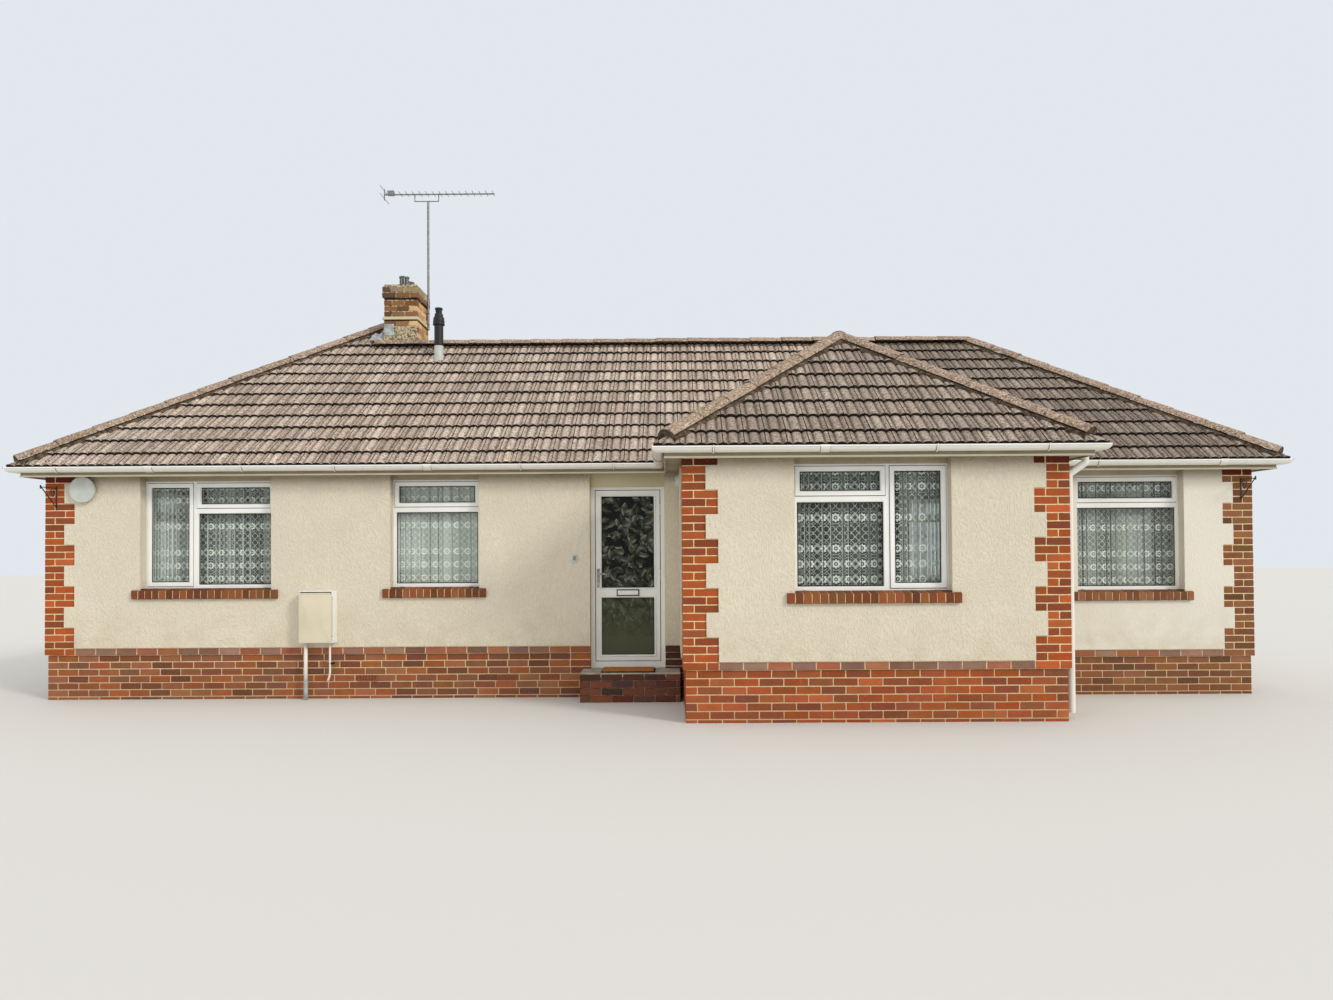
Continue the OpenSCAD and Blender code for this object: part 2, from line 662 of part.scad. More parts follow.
module door_frame() color("white") on_wall(0) {
    difference() {
        translate([door_x + seat, reveal, step_top + seat])
            cube([door_w - 2 * seat, frame_d, door_head_z - step_top - 2 * seat]);
        translate([door_x + door_frame_w, -1, floor_z + threshold_h])
            cube([door_w - 2 * door_frame_w, far,
                door_head_z - door_frame_top - floor_z - threshold_h]);
    }
    hinge_pins();
}
// The two glazed openings of the door
door_mid_z = leaf_z0 + 700;
mid_rail_h = 108;
module door_holes(gap) {
    translate([leaf_x0 + stile_w + gap, -far / 2, leaf_z0 + stile_w + gap])
        cube([leaf_w - 2 * stile_w - 2 * gap, far, door_mid_z - leaf_z0 - stile_w - 2 * gap]);
    translate([leaf_x0 + stile_w + gap, -far / 2, door_mid_z + mid_rail_h + gap])
        cube([leaf_w - 2 * stile_w - 2 * gap, far,
            leaf_z0 + leaf_h - stile_w - door_mid_z - mid_rail_h - 2 * gap]);
}
module front_door() color("white") on_wall(0) {
    difference() {
        translate([leaf_x0, leaf_y, leaf_z0]) cube([leaf_w, leaf_t, leaf_h]);
        door_holes(0);
    }
    hinge_leaves();
}
module door_glass() color("darkslategray", 0.8) on_wall(0) intersection() {
    translate([leaf_x0, leaf_y + (leaf_t - glass_t) / 2, leaf_z0])
        cube([leaf_w, glass_t, leaf_h]);
    door_holes(seat);
}
handle_z = 1352;
module door_furniture() color("gray") on_wall(0) {
    for (side = [[leaf_y - 8 - seat, -1], [leaf_y + leaf_t + seat, 1]]) {
        translate([leaf_x0 + 14, side[0], handle_z - 150]) cube([30, 8, 210]);
        translate([leaf_x0 + 29, side[0] + 4 + side[1] * 18, handle_z]) rotate([90, 0, 0])
            cylinder(h = 38, d = 18, center = true);
        translate([leaf_x0 + 22, side[0] + 4 + side[1] * 38 - 7, handle_z - 8])
            cube([118, 12, 16]);
    }
    // Letter plate on the middle rail
    translate([leaf_x0 + leaf_w / 2 - 125, leaf_y - 10 - seat, door_mid_z + 18])
        cube([250, 10, 72]);
}
step_top = floor_z - 8;
slab_t = 45;
module doorstep() color("darkgray") on_wall(0) {
    x0 = door_x - 75;
    x1 = wing_x - seat - render_t;
    translate([x0, -step_d, step_top - slab_t])
        cube([x1 - x0, step_d - seat + plinth_set - seat, slab_t]);
    translate([door_x + seat, 0, step_top - slab_t])
        cube([door_w - 2 * seat, wall_t - seat, slab_t]);
    translate([x0 + 20, -step_d + 20, 0])
        cube([x1 - x0 - 20, step_d - 20 + plinth_set - 2 * seat, step_top - slab_t]);
}

meter_x = 2865;
meter_z = 626;
meter_lid_t = 12;
meter_gap = 5;
module meter_box() color("ivory") on_wall(0) {
    difference() {
        translate([meter_x, -meter_d, meter_z])
            cube([meter_w, meter_d - render_t - seat, meter_h]);
        translate([meter_x + 8, -meter_d - 1, meter_z + 8])
            cube([meter_w - 24, meter_d - render_t - 8, meter_h - 16]);
    }
    meter_hinge();
}
// The meter door turns on a pin between two lugs of the box
meter_pin_x = meter_x + meter_w - 8;
meter_pin_y = -meter_d - meter_gap - meter_lid_t / 2;
meter_pin_z = meter_z + 40;
meter_pin_h = meter_h - 80;
module meter_hinge() {
    for (z = [meter_pin_z, meter_pin_z + meter_pin_h - 20])
        translate([meter_pin_x - 5, meter_pin_y - 5, z]) cube([10, -meter_d - meter_pin_y + 6, 20]);
    translate([meter_pin_x, meter_pin_y, meter_pin_z]) cylinder(h = meter_pin_h, d = 5);
}
module meter_door() color("ivory") on_wall(0) union() {
    difference() {
        union() {
            translate([meter_x, -meter_d - meter_gap - meter_lid_t, meter_z + 12])
                cube([meter_w - 20, meter_lid_t, meter_h - 32]);
            translate([meter_pin_x - 13, meter_pin_y - 5, meter_pin_z + 26])
                cube([13, 10, meter_pin_h - 52]);
            translate([meter_pin_x, meter_pin_y, meter_pin_z + 26])
                cylinder(h = meter_pin_h - 52, d = 10);
        }
        translate([meter_pin_x, meter_pin_y, meter_z]) cylinder(h = meter_h, d = 5 + 2 * seat);
    }
    translate([meter_x + 24, -meter_d - meter_gap - meter_lid_t + 1, meter_z + meter_h / 2])
        rotate([90, 0, 0]) cylinder(h = 7, d = 22);
}
module service_pipes() color("white") on_wall(0) {
    translate([meter_x + 47, -meter_d / 2, 0]) cylinder(h = meter_z - seat, d = 40);
    translate([meter_x + 47, -meter_d / 2, 0]) cylinder(h = 110, d = 54);
    translate([meter_x + 305, -meter_d / 2 + 20, 240]) cylinder(h = meter_z - seat - 240, d = 25);
    translate([meter_x + 305, -meter_d / 2 + 20, 240]) sphere(d = 25);
    translate([meter_x + 305, -meter_d / 2 + 20, 240]) rotate([-90, 0, 0])
        cylinder(h = meter_d / 2 - 20 + plinth_set - seat, d = 25);
}
// Airbricks: distance along the front wall and height
AIRBRICKS = [[3457, 190], [4993, 190]];
module airbricks() color("firebrick") for (a = AIRBRICKS) on_wall(0)
    translate([a[0], plinth_set - seat - 12, a[1]]) difference() {
        cube([brick - 12, 12, course - 11]);
        for (r = [0, 1]) for (c = [0 : 5])
            translate([14 + c * 33, -1, 10 + r * 26]) cube([20, 10, 18]);
    }
// The round cover high on the front wall and the lamp on the side of the wing
module wall_lamps() color("gainsboro") {
    on_wall(0) translate([disc_x, -render_t - seat, disc_z]) rotate([90, 0, 0]) {
        cylinder(h = 40, d = disc_d * 0.9);
        translate([0, 0, 28]) cylinder(h = 22, d = disc_d);
    }
    on_wall(1) translate([wing_proj - lamp_y, -render_t - seat, lamp_z]) rotate([90, 0, 0]) {
        cylinder(h = lamp_h * 0.4, d = lamp_d);
        cylinder(h = lamp_h, d = 0.84 * lamp_d);
    }
}
// Hanging basket brackets: wall line, distance along it, height
bracket_in = 120;
bracket_z = soffit_z - 235;
BRACKETS = [[0, bracket_in, bracket_z], [4, right_len - bracket_in, bracket_z + 10]];
module bracket(i, x, z) on_wall(i) translate([x, 0, z]) {
    translate([-8, -6 - seat, -130]) cube([16, 6, 260]);
    translate([-6, -260, 104]) cube([12, 254, 8]);
    translate([0, -7, -100]) rotate([atan2(244, 204), 0, 0]) translate([-4, -4, 0])
        cube([8, 8, 318]);
    translate([-6, -268, 88]) cube([12, 8, 40]);
}
module basket_brackets() color("black") for (b = BRACKETS) bracket(b[0], b[1], b[2]);

front_wall();
door_pier();
door_head();
wing_front_wall();
wing_side_walls();
right_front_wall();
right_end_wall();
rear_wall();
rear_wing_walls();
left_end_wall();
front_render();
side_and_rear_render();
floor_slab();
ceiling();
main_roof_front();
main_roof_rear();
right_hip_slope();
left_roof_slope();
rear_wing_roof();
wing_roof();
ridge_tiles();
fascia_boards();
soffit_boards();
gutters();
downpipes();
chimney_stack();
chimney_pots();
flue_pipe();
aerial_mast();
aerial();
window_frames();
window_glass();
window_sills();
net_curtains();
door_frame();
front_door();
door_glass();
door_furniture();
doorstep();
meter_box();
meter_door();
service_pipes();
airbricks();
wall_lamps();
basket_brackets();
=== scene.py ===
"""Looks of a brick and render bungalow with hipped roofs, built around its fixed frame."""

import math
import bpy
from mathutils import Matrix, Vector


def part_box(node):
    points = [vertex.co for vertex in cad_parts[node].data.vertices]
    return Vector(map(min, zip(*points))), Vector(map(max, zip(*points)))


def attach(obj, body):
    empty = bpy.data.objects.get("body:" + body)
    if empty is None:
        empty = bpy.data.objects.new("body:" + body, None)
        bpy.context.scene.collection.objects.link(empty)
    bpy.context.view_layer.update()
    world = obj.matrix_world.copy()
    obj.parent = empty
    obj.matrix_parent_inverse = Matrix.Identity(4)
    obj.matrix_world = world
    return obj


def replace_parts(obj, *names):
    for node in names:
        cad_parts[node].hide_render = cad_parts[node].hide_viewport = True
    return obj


bl_info = {
    "name": "Bungalow with hipped roofs",
    "version": (1, 0, 0),
    "blender": (4, 5, 0),
    "location": "View3D > Sidebar > Bungalow",
    "description": "Builds the looks of a brick and render bungalow around its fixed frame",
    "category": "Add Mesh",
}

import bpy
import numpy as np
from bpy.props import FloatProperty, FloatVectorProperty, IntProperty, PointerProperty
from mathutils import Matrix, Vector

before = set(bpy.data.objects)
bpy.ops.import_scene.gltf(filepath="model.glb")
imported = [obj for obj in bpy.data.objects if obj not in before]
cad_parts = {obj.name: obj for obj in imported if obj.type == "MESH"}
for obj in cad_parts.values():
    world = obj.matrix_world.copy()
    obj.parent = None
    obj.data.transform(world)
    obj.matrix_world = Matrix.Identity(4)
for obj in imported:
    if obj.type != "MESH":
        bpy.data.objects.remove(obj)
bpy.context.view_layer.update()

# Real sizes in metres, the same as in the frame
FRONT_W, MAIN_D = 13.300, 4.700
WING_X, WING_W, WING_OUT = 7.025, 3.595, 1.600
REAR_W, REAR_OUT = 5.970, 3.600
SHIFT = np.array([-FRONT_W / 2, WING_OUT - (WING_OUT + MAIN_D + REAR_OUT) / 2])
COURSE, BRICK, JOINT = 0.0762, 0.2286, 0.0105
HALF, BRICK_FACE, HALF_FACE = BRICK / 2, BRICK - JOINT, BRICK / 2 - JOINT
# How deep a brick is where only its face shows
DEPTH = 0.05
PLINTH_H, PLINTH_SET = 0.495, 0.025
SOFFIT_Z = 2.465
RENDER_T = 0.018
REVEAL, FRAME_D = 0.100, 0.065
HEAD_Z, SILL_Z, SILL_H, SILL_PAST, SILL_OUT = 2.412, 1.220, 0.112, 0.075, 0.055
EAVE_OUT, EAVE_Z = 0.215, 2.610
MAIN_RISE, WING_RISE = math.tan(math.radians(35.3)), math.tan(math.radians(34.7))
DOOR_X, DOOR_W, DOOR_HEAD = 6.020, 0.830, 2.320
STEP_TOP = 0.312
STACK = (3.020, 2.392, 0.440, 0.600, 5.270)
FASCIA_OUT = 0.148 + 0.018
GUTTER_AXIS, GUTTER_Z, GUTTER_R = FASCIA_OUT + 0.056, 2.550, 0.056

# The ring of ten wall lines: corners from the left front one, whether each corner points
# outwards, and whether the bricks of the line that starts there lie one course lower
RING = np.array([(0, 0), (WING_X, 0), (WING_X, -WING_OUT), (WING_X + WING_W, -WING_OUT),
                 (WING_X + WING_W, 0), (FRONT_W, 0), (FRONT_W, MAIN_D), (REAR_W, MAIN_D),
                 (REAR_W, MAIN_D + REAR_OUT), (0, MAIN_D + REAR_OUT)]) + SHIFT
TURN = [1, -1, 1, 1, -1, 1, 1, -1, 1, 1]
DROPPED = [0, 0, 0, 0, 1, 1, 1, 0, 0, 0]
WALLS = len(RING)

# Windows: wall line, distance along it, width, courses by which the sill is lower
RIGHT_LEN = FRONT_W - WING_X - WING_W
FRONT_WINDOWS = [(0, 1.055, 1.455, 0), (0, 3.820, 0.985, 0),
                 (2, 1.040, 1.460, 0), (4, (RIGHT_LEN - 1.175) / 2, 1.175, 1)]
REAR_LEN, LEFT_LEN = FRONT_W - REAR_W, MAIN_D + REAR_OUT
PLAIN_WINDOWS = [(5, (MAIN_D - 0.985) / 2, 0.985, 1), (6, 0.2 * REAR_LEN, 1.175, 1),
                 (6, 0.59 * REAR_LEN, 0.985, 1), (8, 0.15 * REAR_W, 1.455, 0),
                 (8, 0.65 * REAR_W, 0.985, 0), (9, 0.17 * LEFT_LEN, 0.985, 0),
                 (9, 0.67 * LEFT_LEN, 0.985, 0)]
WINDOWS = FRONT_WINDOWS + PLAIN_WINDOWS
VENT_H, TALL_LEFT, TALL_RIGHT, SEAT = 0.320, 0.555, 0.570, 0.0003

# Photograph: its width and focal length in pixels, and the camera found from the brickwork
PHOTO_W, FOCAL_PX = 1333, 933
CAMERA_AT = (0.2755, RING[2][1] - 8.678, 1.598)
CAMERA_PITCH, CAMERA_ROLL, CAMERA_YAW, CAMERA_SHIFT = 0.953, 0.355, 0.33, 0.027


# Geometry helpers

def line_axes(a, b):
    """Start corner, direction, outward normal and length of the line from a to b."""
    length = np.linalg.norm(b - a)
    d = (b - a) / length
    return a, d, np.array([d[1], -d[0]]), length


def wall_axes(i):
    """The same of wall line i."""
    return line_axes(RING[i], RING[(i + 1) % WALLS])


def on_wall(i, local):
    """Turns points (u, out, z) of wall line i into places: corner + u * d + out * n."""
    a, d, n, _ = wall_axes(i)
    local = np.asarray(local, float)
    flat = a + local[..., :1] * d + local[..., 1:2] * n
    return np.concatenate([flat, local[..., 2:3]], axis=-1)


def join(parts):
    """Joins parts, each its places and its faces, into one, counting the indexes on."""
    coords, faces, start = [], [], 0
    for c, fs, *_ in parts:
        coords.append(np.reshape(c, (-1, 3)))
        faces += [np.asarray(f) + start for f in fs]
        start += len(coords[-1])
    return np.concatenate(coords), faces


def add_piece(name, parts, look, body="house", smooth=False, tint=None, uv=None, slots=None):
    """Joins parts into one mesh of the named material, or of several where look is a list.

    A part is an array of places and a list of (m, 3) or (m, 4) index arrays. tint is one
    colour for each face, uv one pair for each vertex and slots one material index for each
    face.
    """
    coords, faces = join(parts)
    groups = [np.asarray(f, np.int32).reshape(-1, f.shape[-1]) for f in faces if len(f)]
    loops = np.concatenate([g.ravel() for g in groups])
    sizes = np.concatenate([np.full(len(g), g.shape[1]) for g in groups])
    mesh = bpy.data.meshes.new(name)
    mesh.vertices.add(len(coords))
    mesh.vertices.foreach_set("co", np.asarray(coords, np.float32).ravel())
    mesh.loops.add(len(loops))
    mesh.loops.foreach_set("vertex_index", loops)
    mesh.polygons.add(len(sizes))
    mesh.polygons.foreach_set("loop_start", (np.cumsum(sizes) - sizes).astype(np.int32))
    mesh.update(calc_edges=True)
    if tint is not None:
        layer = mesh.attributes.new("tint", "FLOAT_COLOR", "FACE")
        rgba = np.concatenate([np.asarray(tint, float), np.ones((len(tint), 1))], axis=1)
        layer.data.foreach_set("color", rgba.astype(np.float32).ravel())
    if uv is not None:
        layer = mesh.uv_layers.new(name="UVMap")
        layer.data.foreach_set("uv", np.asarray(uv, np.float32)[loops].ravel())
    for one in look if isinstance(look, list) else [look]:
        mesh.materials.append(material(one))
    if slots is not None:
        mesh.polygons.foreach_set("material_index", np.asarray(slots, np.int32))
    mesh.polygons.foreach_set("use_smooth", np.full(len(sizes), smooth))
    if mesh.validate():
        raise RuntimeError(name + " has faces that can't be drawn")
    piece = bpy.data.objects.new(name, mesh)
    bpy.context.scene.collection.objects.link(piece)
    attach(piece, body)
    return piece


def paint(look, *nodes):
    """Gives frame nodes the named material in each of their slots."""
    for node in nodes:
        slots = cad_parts[node].data.materials
        for k in range(len(slots)):
            slots[k] = material(look)


def box_template():
    """A box with chamfered edges as signs and faces: each corner is three vertices, one held
    out on each axis, so vertex 3 c + a of corner c keeps its full reach on axis a."""
    corners = np.array([[x, y, z] for x in (-1, 1) for y in (-1, 1) for z in (-1, 1)])
    quads, tris = [], []

    def vertex(a, *signs):
        """The first vertex of the corner with these signs on axes a, a + 1 and a + 2."""
        point = np.roll(signs, a)
        return 3 * int(np.where((corners == point).all(1))[0][0])

    def face(loop, outwards):
        quads.append(loop if outwards > 0 else loop[::-1])

    for a in range(3):
        b = (a + 1) % 3
        for s in (-1, 1):
            face([vertex(a, s, *t) + a for t in ((-1, -1), (1, -1), (1, 1), (-1, 1))], s)
        for sa in (-1, 1):
            for sb in (-1, 1):
                low, high = (vertex(a, sa, sb, sc) for sc in (-1, 1))
                face([low + a, low + b, high + b, high + a], sa * sb)
    for k, point in enumerate(corners):
        loop = [3 * k, 3 * k + 1, 3 * k + 2]
        tris.append(loop if point.prod() > 0 else loop[::-1])
    return np.repeat(corners, 3, axis=0), np.tile(np.eye(3), (8, 1)), np.array(quads), \
        np.array(tris)


BOX = box_template()
# Axes of a box whose places are (u, out, z): out points away from +Y
FLIP = np.diag([1.0, -1.0, 1.0])


def boxes(centres, halves, axes, bevel, jitter=0.0, seed=1):
    """Chamfered boxes: place = centre + axes . (sign * (half - bevel * (1 - full)))."""
    signs, full, quads, tris = BOX
    centres, halves = np.asarray(centres, float), np.asarray(halves, float)
    n = len(centres)
    axes = np.broadcast_to(np.asarray(axes, float), (n, 3, 3))
    local = signs[None] * (halves[:, None] - bevel * (1 - full[None]))
    if jitter:
        rng = np.random.default_rng(seed)
        local = local + np.repeat(rng.uniform(-jitter, jitter, (n, 8, 3)), 3, axis=1)
    coords = centres[:, None] + np.einsum("nij,nkj->nki", axes, local)
    step = (np.arange(n) * len(signs))[:, None, None]
    faces = [(quads[None] + step).reshape(-1, 4), (tris[None] + step).reshape(-1, 3)]
    owner = np.concatenate([np.repeat(np.arange(n), len(f)) for f in (quads, tris)])
    return coords.reshape(-1, 3), faces, owner


def wall_box(i, at, half, bevel=0.001):
    """A chamfered box on wall line i, with its centre and half size as (u, out, z)."""
    coords, faces, _ = boxes([at], [half], FLIP, bevel)
    return on_wall(i, coords), faces


def plate(i, u0, u1, out0, out1, z0, z1):
    """A thin upright or level plate on wall line i."""
    low, high = np.array([u0, out0, z0]), np.array([u1, out1, z1])
    return wall_box(i, (low + high) / 2, (high - low) / 2)


def grid_faces(rows, cols, wrap=False):
    """Quads of a rows by cols grid of vertices counted row by row."""
    r = np.arange(rows - 1)[:, None]
    c = np.arange(cols if wrap else cols - 1)[None]
    d = (c + 1) % cols
    return np.stack([r * cols + c, r * cols + d, (r + 1) * cols + d, (r + 1) * cols + c],
                    axis=-1).reshape(-1, 4)


def turned_round(quads):
    """The quads facing the other way, each still counted from its first corner."""
    return quads[:, [0, 3, 2, 1]]


def wide_enough(coords, faces, least):
    """Which quads have more than a least area, taken from their diagonals."""
    quad = coords[faces]
    return np.linalg.norm(np.cross(quad[:, 2] - quad[:, 0], quad[:, 3] - quad[:, 1]),
                          axis=1) > least


def ring(i, box, profile):
    """A mitred frame round a rectangle (u0, z0, u1, z1) of wall line i: corner k of profile
    point (inset, out) lies inset inwards from the rectangle's corner."""
    u0, z0, u1, z1 = box
    p = np.asarray(profile, float)
    inset, out = p[:, 0], p[:, 1]
    corners = [np.stack([x, out, z], axis=-1) for x, z in (
        (u0 + inset, z0 + inset), (u1 - inset, z0 + inset),
        (u1 - inset, z1 - inset), (u0 + inset, z1 - inset))]
    return on_wall(i, np.stack(corners, axis=1)), [grid_faces(len(p), 4, wrap=True)]


def tube(i, points, radius, sides=16, caps=True):
    """A round bar along points (u, out, z) of wall line i: a circle of the radius, square to
    the path's direction."""
    p = np.asarray(points, float)
    t = np.gradient(p, axis=0)
    t /= np.linalg.norm(t, axis=1)[:, None]
    a = np.cross(t, np.eye(3)[np.argmin(abs(t).max(axis=0))])
    a /= np.linalg.norm(a, axis=1)[:, None]
    b = np.cross(t, a)
    w = np.linspace(0, 2 * np.pi, sides, endpoint=False)[None, :, None]
    coords = p[:, None] + radius * (a[:, None] * np.cos(w) + b[:, None] * np.sin(w))
    faces = [grid_faces(len(p), sides, wrap=True)]
    if caps:
        end = np.arange(sides)[None]
        faces += [end[:, ::-1], end + (len(p) - 1) * sides]
    return on_wall(i, coords), [f[:, ::-1] for f in faces]


def lathe(profile, centre, sides=32):
    """A turned piece: profile points (radius, z) taken round an upright axis at centre."""
    p = np.asarray(profile, float)
    w = np.linspace(0, 2 * np.pi, sides, endpoint=False)
    coords = np.stack([p[:, :1] * np.cos(w) + centre[0], p[:, :1] * np.sin(w) + centre[1],
                       np.broadcast_to(p[:, 1:] + centre[2], (len(p), sides))], axis=-1)
    return coords.reshape(-1, 3), [grid_faces(len(p), sides, wrap=True)]


# Material helpers

def linear(rgb):
    """Screen colours 0 to 255 turned into the linear values that a shader takes."""
    c = np.asarray(rgb, float) / 255
    return np.where(c <= 0.04045, c / 12.92, ((c + 0.055) / 1.055) ** 2.4)


# How far inside the wall lines the rooms' inner faces are told from the outer ones
WALL_IN = 0.2


class Nodes:
    """A small builder for a node tree."""

    def __init__(self, tree, output):
        self.tree = tree
        tree.nodes.clear()
        self.out = tree.nodes.new("ShaderNodeOutput" + output)

    def node(self, kind, inputs=(), **settings):
        made = self.tree.nodes.new("ShaderNode" + kind)
        for key, value in settings.items():
            setattr(made, key, value)
        for key, value in dict(inputs).items():
            socket = made.inputs[key]
            if hasattr(value, "is_output"):
                self.tree.links.new(value, socket)
            else:
                opaque = socket.type == "RGBA" and len(value) == 3
                socket.default_value = (*value, 1) if opaque else value
        return made

    def close(self, shader):
        self.tree.links.new(shader.outputs[0], self.out.inputs["Surface"])

    def math(self, operation, a, b=0.0):
        return self.node("Math", {0: a, 1: b}, operation=operation).outputs[0]

    def times(self, a, b):
        return self.math("MULTIPLY", a, b)

    def plus(self, a, b):
        return self.math("ADD", a, b)

    def minus(self, a, b):
        return self.math("SUBTRACT", a, b)

    def larger(self, a, b):
        return self.math("MAXIMUM", a, b)

    def size(self, a):
        return self.math("ABSOLUTE", a)


class Shader(Nodes):
    """A builder for one material: masks run from 0 to 1 and colours are linear."""

    def __init__(self, name):
        self.material = bpy.data.materials.new(name)
        self.material.use_nodes = True
        super().__init__(self.material.node_tree, "Material")

    def place(self):
        return self.node("TexCoord").outputs["Object"]

    def axes(self):
        """The place's x, y and z."""
        return self.node("SeparateXYZ", {0: self.place()}).outputs

    def tint(self):
        return self.node("Attribute", attribute_name="tint").outputs["Color"]

    def noise(self, scale, detail=3.0, roughness=0.55, vector=None):
        return self.node("TexNoise", {"Vector": vector or self.place(), "Scale": scale,
                                      "Detail": detail, "Roughness": roughness}).outputs[0]

    def ramp(self, value, low, high, to_low=0.0, to_high=1.0):
        return self.node("MapRange", {"Value": value, "From Min": low, "From Max": high,
                                      "To Min": to_low, "To Max": to_high}).outputs[0]

    def patches(self, scale, detail, low, high, roughness=0.55, to_low=0.0, to_high=1.0):
        """A mask of patches: where a noise of that scale rises from low to high."""
        return self.ramp(self.noise(scale, detail, roughness), low, high, to_low, to_high)

    def mix(self, factor, a, b, blend="MIX"):
        return self.node("Mix", {0: factor, 6: a, 7: b}, data_type="RGBA",
                         blend_type=blend).outputs[2]

    def over(self, color, mask, share, rgb):
        """The colour with a screen colour laid over it where the mask is."""
        return self.mix(self.times(mask, share), color, linear(rgb))

    def bump(self, height, distance, strength=1.0):
        return self.node("Bump", {"Height": height, "Distance": distance,
                                  "Strength": strength}).outputs[0]

    def inside(self):
        """1 on the inner faces of the walls: within the rooms' plan by |x - c| < h."""
        x, y, _ = self.axes()
        found = 0.0
        for x0, y0, w, d in ((0, 0, FRONT_W, MAIN_D),
                             (WING_X, -WING_OUT, WING_W, WING_OUT + MAIN_D / 2),
                             (0, MAIN_D / 2, REAR_W, MAIN_D / 2 + REAR_OUT)):
            hit = 1.0
            for axis, centre, half in ((x, x0 + w / 2 + SHIFT[0], w / 2 - WALL_IN),
                                       (y, y0 + d / 2 + SHIFT[1], d / 2 - WALL_IN)):
                gap = self.size(self.minus(axis, centre))
                hit = self.times(self.math("LESS_THAN", gap, half), hit)
            found = self.larger(hit, found)
        return found

    def finish(self, color, roughness=0.8, metallic=0.0, normal=None, specular=0.5, **more):
        inputs = {"Base Color": color, "Roughness": roughness, "Metallic": metallic,
                  "Specular IOR Level": specular, **more}
        if normal is not None:
            inputs["Normal"] = normal
        self.close(self.node("BsdfPrincipled", inputs))
        return self.material


# Materials in two colours: the noise that runs between them (scale, detail, roughness) and
# the band of it that is used, the colours, then roughness, metallic, specular and the bump
# (scale, detail, roughness, height, strength)
TWO_TONE = {
    # Sooty mortar of the chimney
    "stack_mortar": ((32, 4, 0.7), (0.42, 0.6), (204, 190, 160), (92, 78, 58), 0.95, 0, 0.2,
                     (70, 4, 0.7, 0.006, 1.0)),
    # Plain cream render beside and over the door
    "smooth_render": ((1.6, 3), (0.3, 0.7), (210, 200, 168), (200, 188, 154), 0.9, 0, 0.2,
                      (60, 3, 0.55, 0.004, 0.5)),
    # Mortar under the ridge and hip tiles, painted dark as the shade under the caps
    "bedding": ((24, 5, 0.7), (0.4, 0.65), (58, 48, 40), (118, 102, 82), 0.95, 0, 0.2,
                (70, 4, 0.7, 0.008, 1.0)),
    "underlay": ((20, 3), (0.35, 0.7), (52, 44, 40), (38, 33, 30), 0.95),
    # Window plastic
    "white": ((2.5, 3), (0.35, 0.7), (243, 244, 241), (233, 234, 229), 0.28, 0, 0.45),
    # Boards under the roof, a little dirty and painted darker as the shade under the gutter
    "eaves_dirt_and_painted_shade": ((4, 4), (0.4, 0.75), (148, 138, 114), (128, 117, 93), 0.45, 0, 0.35),
    "gasket": ((30, 3), (0.35, 0.7), (24, 25, 26), (36, 36, 35), 0.7, 0, 0.2),
    "steel": ((60, 3), (0.4, 0.62), (186, 184, 174), (92, 90, 84), 0.32, 0.9),
    "dull_metal": ((40, 3), (0.4, 0.7), (150, 152, 152), (110, 108, 104), 0.5, 0.7),
    "lead": ((12, 4), (0.35, 0.7), (190, 196, 196), (140, 144, 142), 0.6, 0.2, 0.5,
             (20, 3, 0.55, 0.006, 0.6)),
    "meter": ((3, 3), (0.35, 0.7), (218, 209, 184), (206, 196, 168), 0.5, 0, 0.35),
    "pale_plastic": ((12, 3), (0.35, 0.7), (196, 201, 195), (180, 186, 180), 0.4),
    # Old concrete of the doorstep, stained and pitted
    "concrete": ((8, 5, 0.65), (0.35, 0.7), (196, 188, 172), (140, 130, 114), 0.92, 0, 0.2,
                 (90, 4, 0.7, 0.006, 0.9)),
    # Bristle of the coir mat
    "mat": ((260, 2), (0.35, 0.65), (132, 78, 34), (214, 142, 76), 1.0, 0, 0.1,
            (400, 2, 0.55, 0.004, 1.0)),
    # Floor and ceiling of the rooms, dark as painted shade
    "inside": ((2.2, 3), (0.3, 0.7), (52, 50, 45), (38, 37, 33), 0.9),
    # Near black for painted shade: inside the pots and in bands under the stack's cap and
    # fillet
    "dark": ((30, 3), (0.35, 0.7), (22, 20, 18), (34, 30, 26), 0.9),
    "brick_plain": ((30, 4), (0.35, 0.7), (150, 82, 52), (120, 70, 48), 0.9, 0, 0.5,
                    (120, 4, 0.7, 0.003, 0.7)),
}


def two_tone(s, grain, band, first, second, roughness, metallic=0, specular=0.5, bump=None):
    """A material whose colour runs from first to second as a noise runs across the band."""
    color = s.mix(s.ramp(s.noise(*grain), *band), linear(first), linear(second))
    normal = s.bump(s.noise(*bump[:3]), *bump[3:]) if bump else None
    return s.finish(color, roughness, metallic, normal, specular)


def make_brick(s):
    """Fired clay: the face colour of each brick, mottled, with fine pits and dark specks."""
    color = s.over(s.tint(), s.patches(9, 4, 0.35, 0.7), 0.25, (92, 58, 42))
    color = s.over(color, s.patches(150, 2, 0.62, 0.72), 0.35, (70, 46, 36))
    color = s.over(color, s.patches(38, 3, 0.6, 0.78), 0.16, (215, 165, 120))
    return s.finish(color, 0.9, normal=s.bump(s.noise(120, 4, 0.7), 0.003, 0.7), specular=0.25)


def make_mortar(s):
    """Sandy mortar with grit, darker and greyer low down, and dark as painted shade on the
    walls' inner faces.
    """
    color = s.mix(s.patches(30, 3, 0.3, 0.7), linear((210, 184, 138)), linear((238, 214, 168)))
    color = s.over(color, s.ramp(s.axes()[2], 0.15, 0.7, 1.0, 0.0), 0.6, (176, 150, 116))
    # Painted shade: the walls' inner faces are dark, as if little light reached the rooms
    color = s.mix(s.inside(), color, linear((44, 45, 40)))
    return s.finish(color, 0.95, normal=s.bump(s.noise(220, 3, 0.7), 0.003, 0.8), specular=0.2)


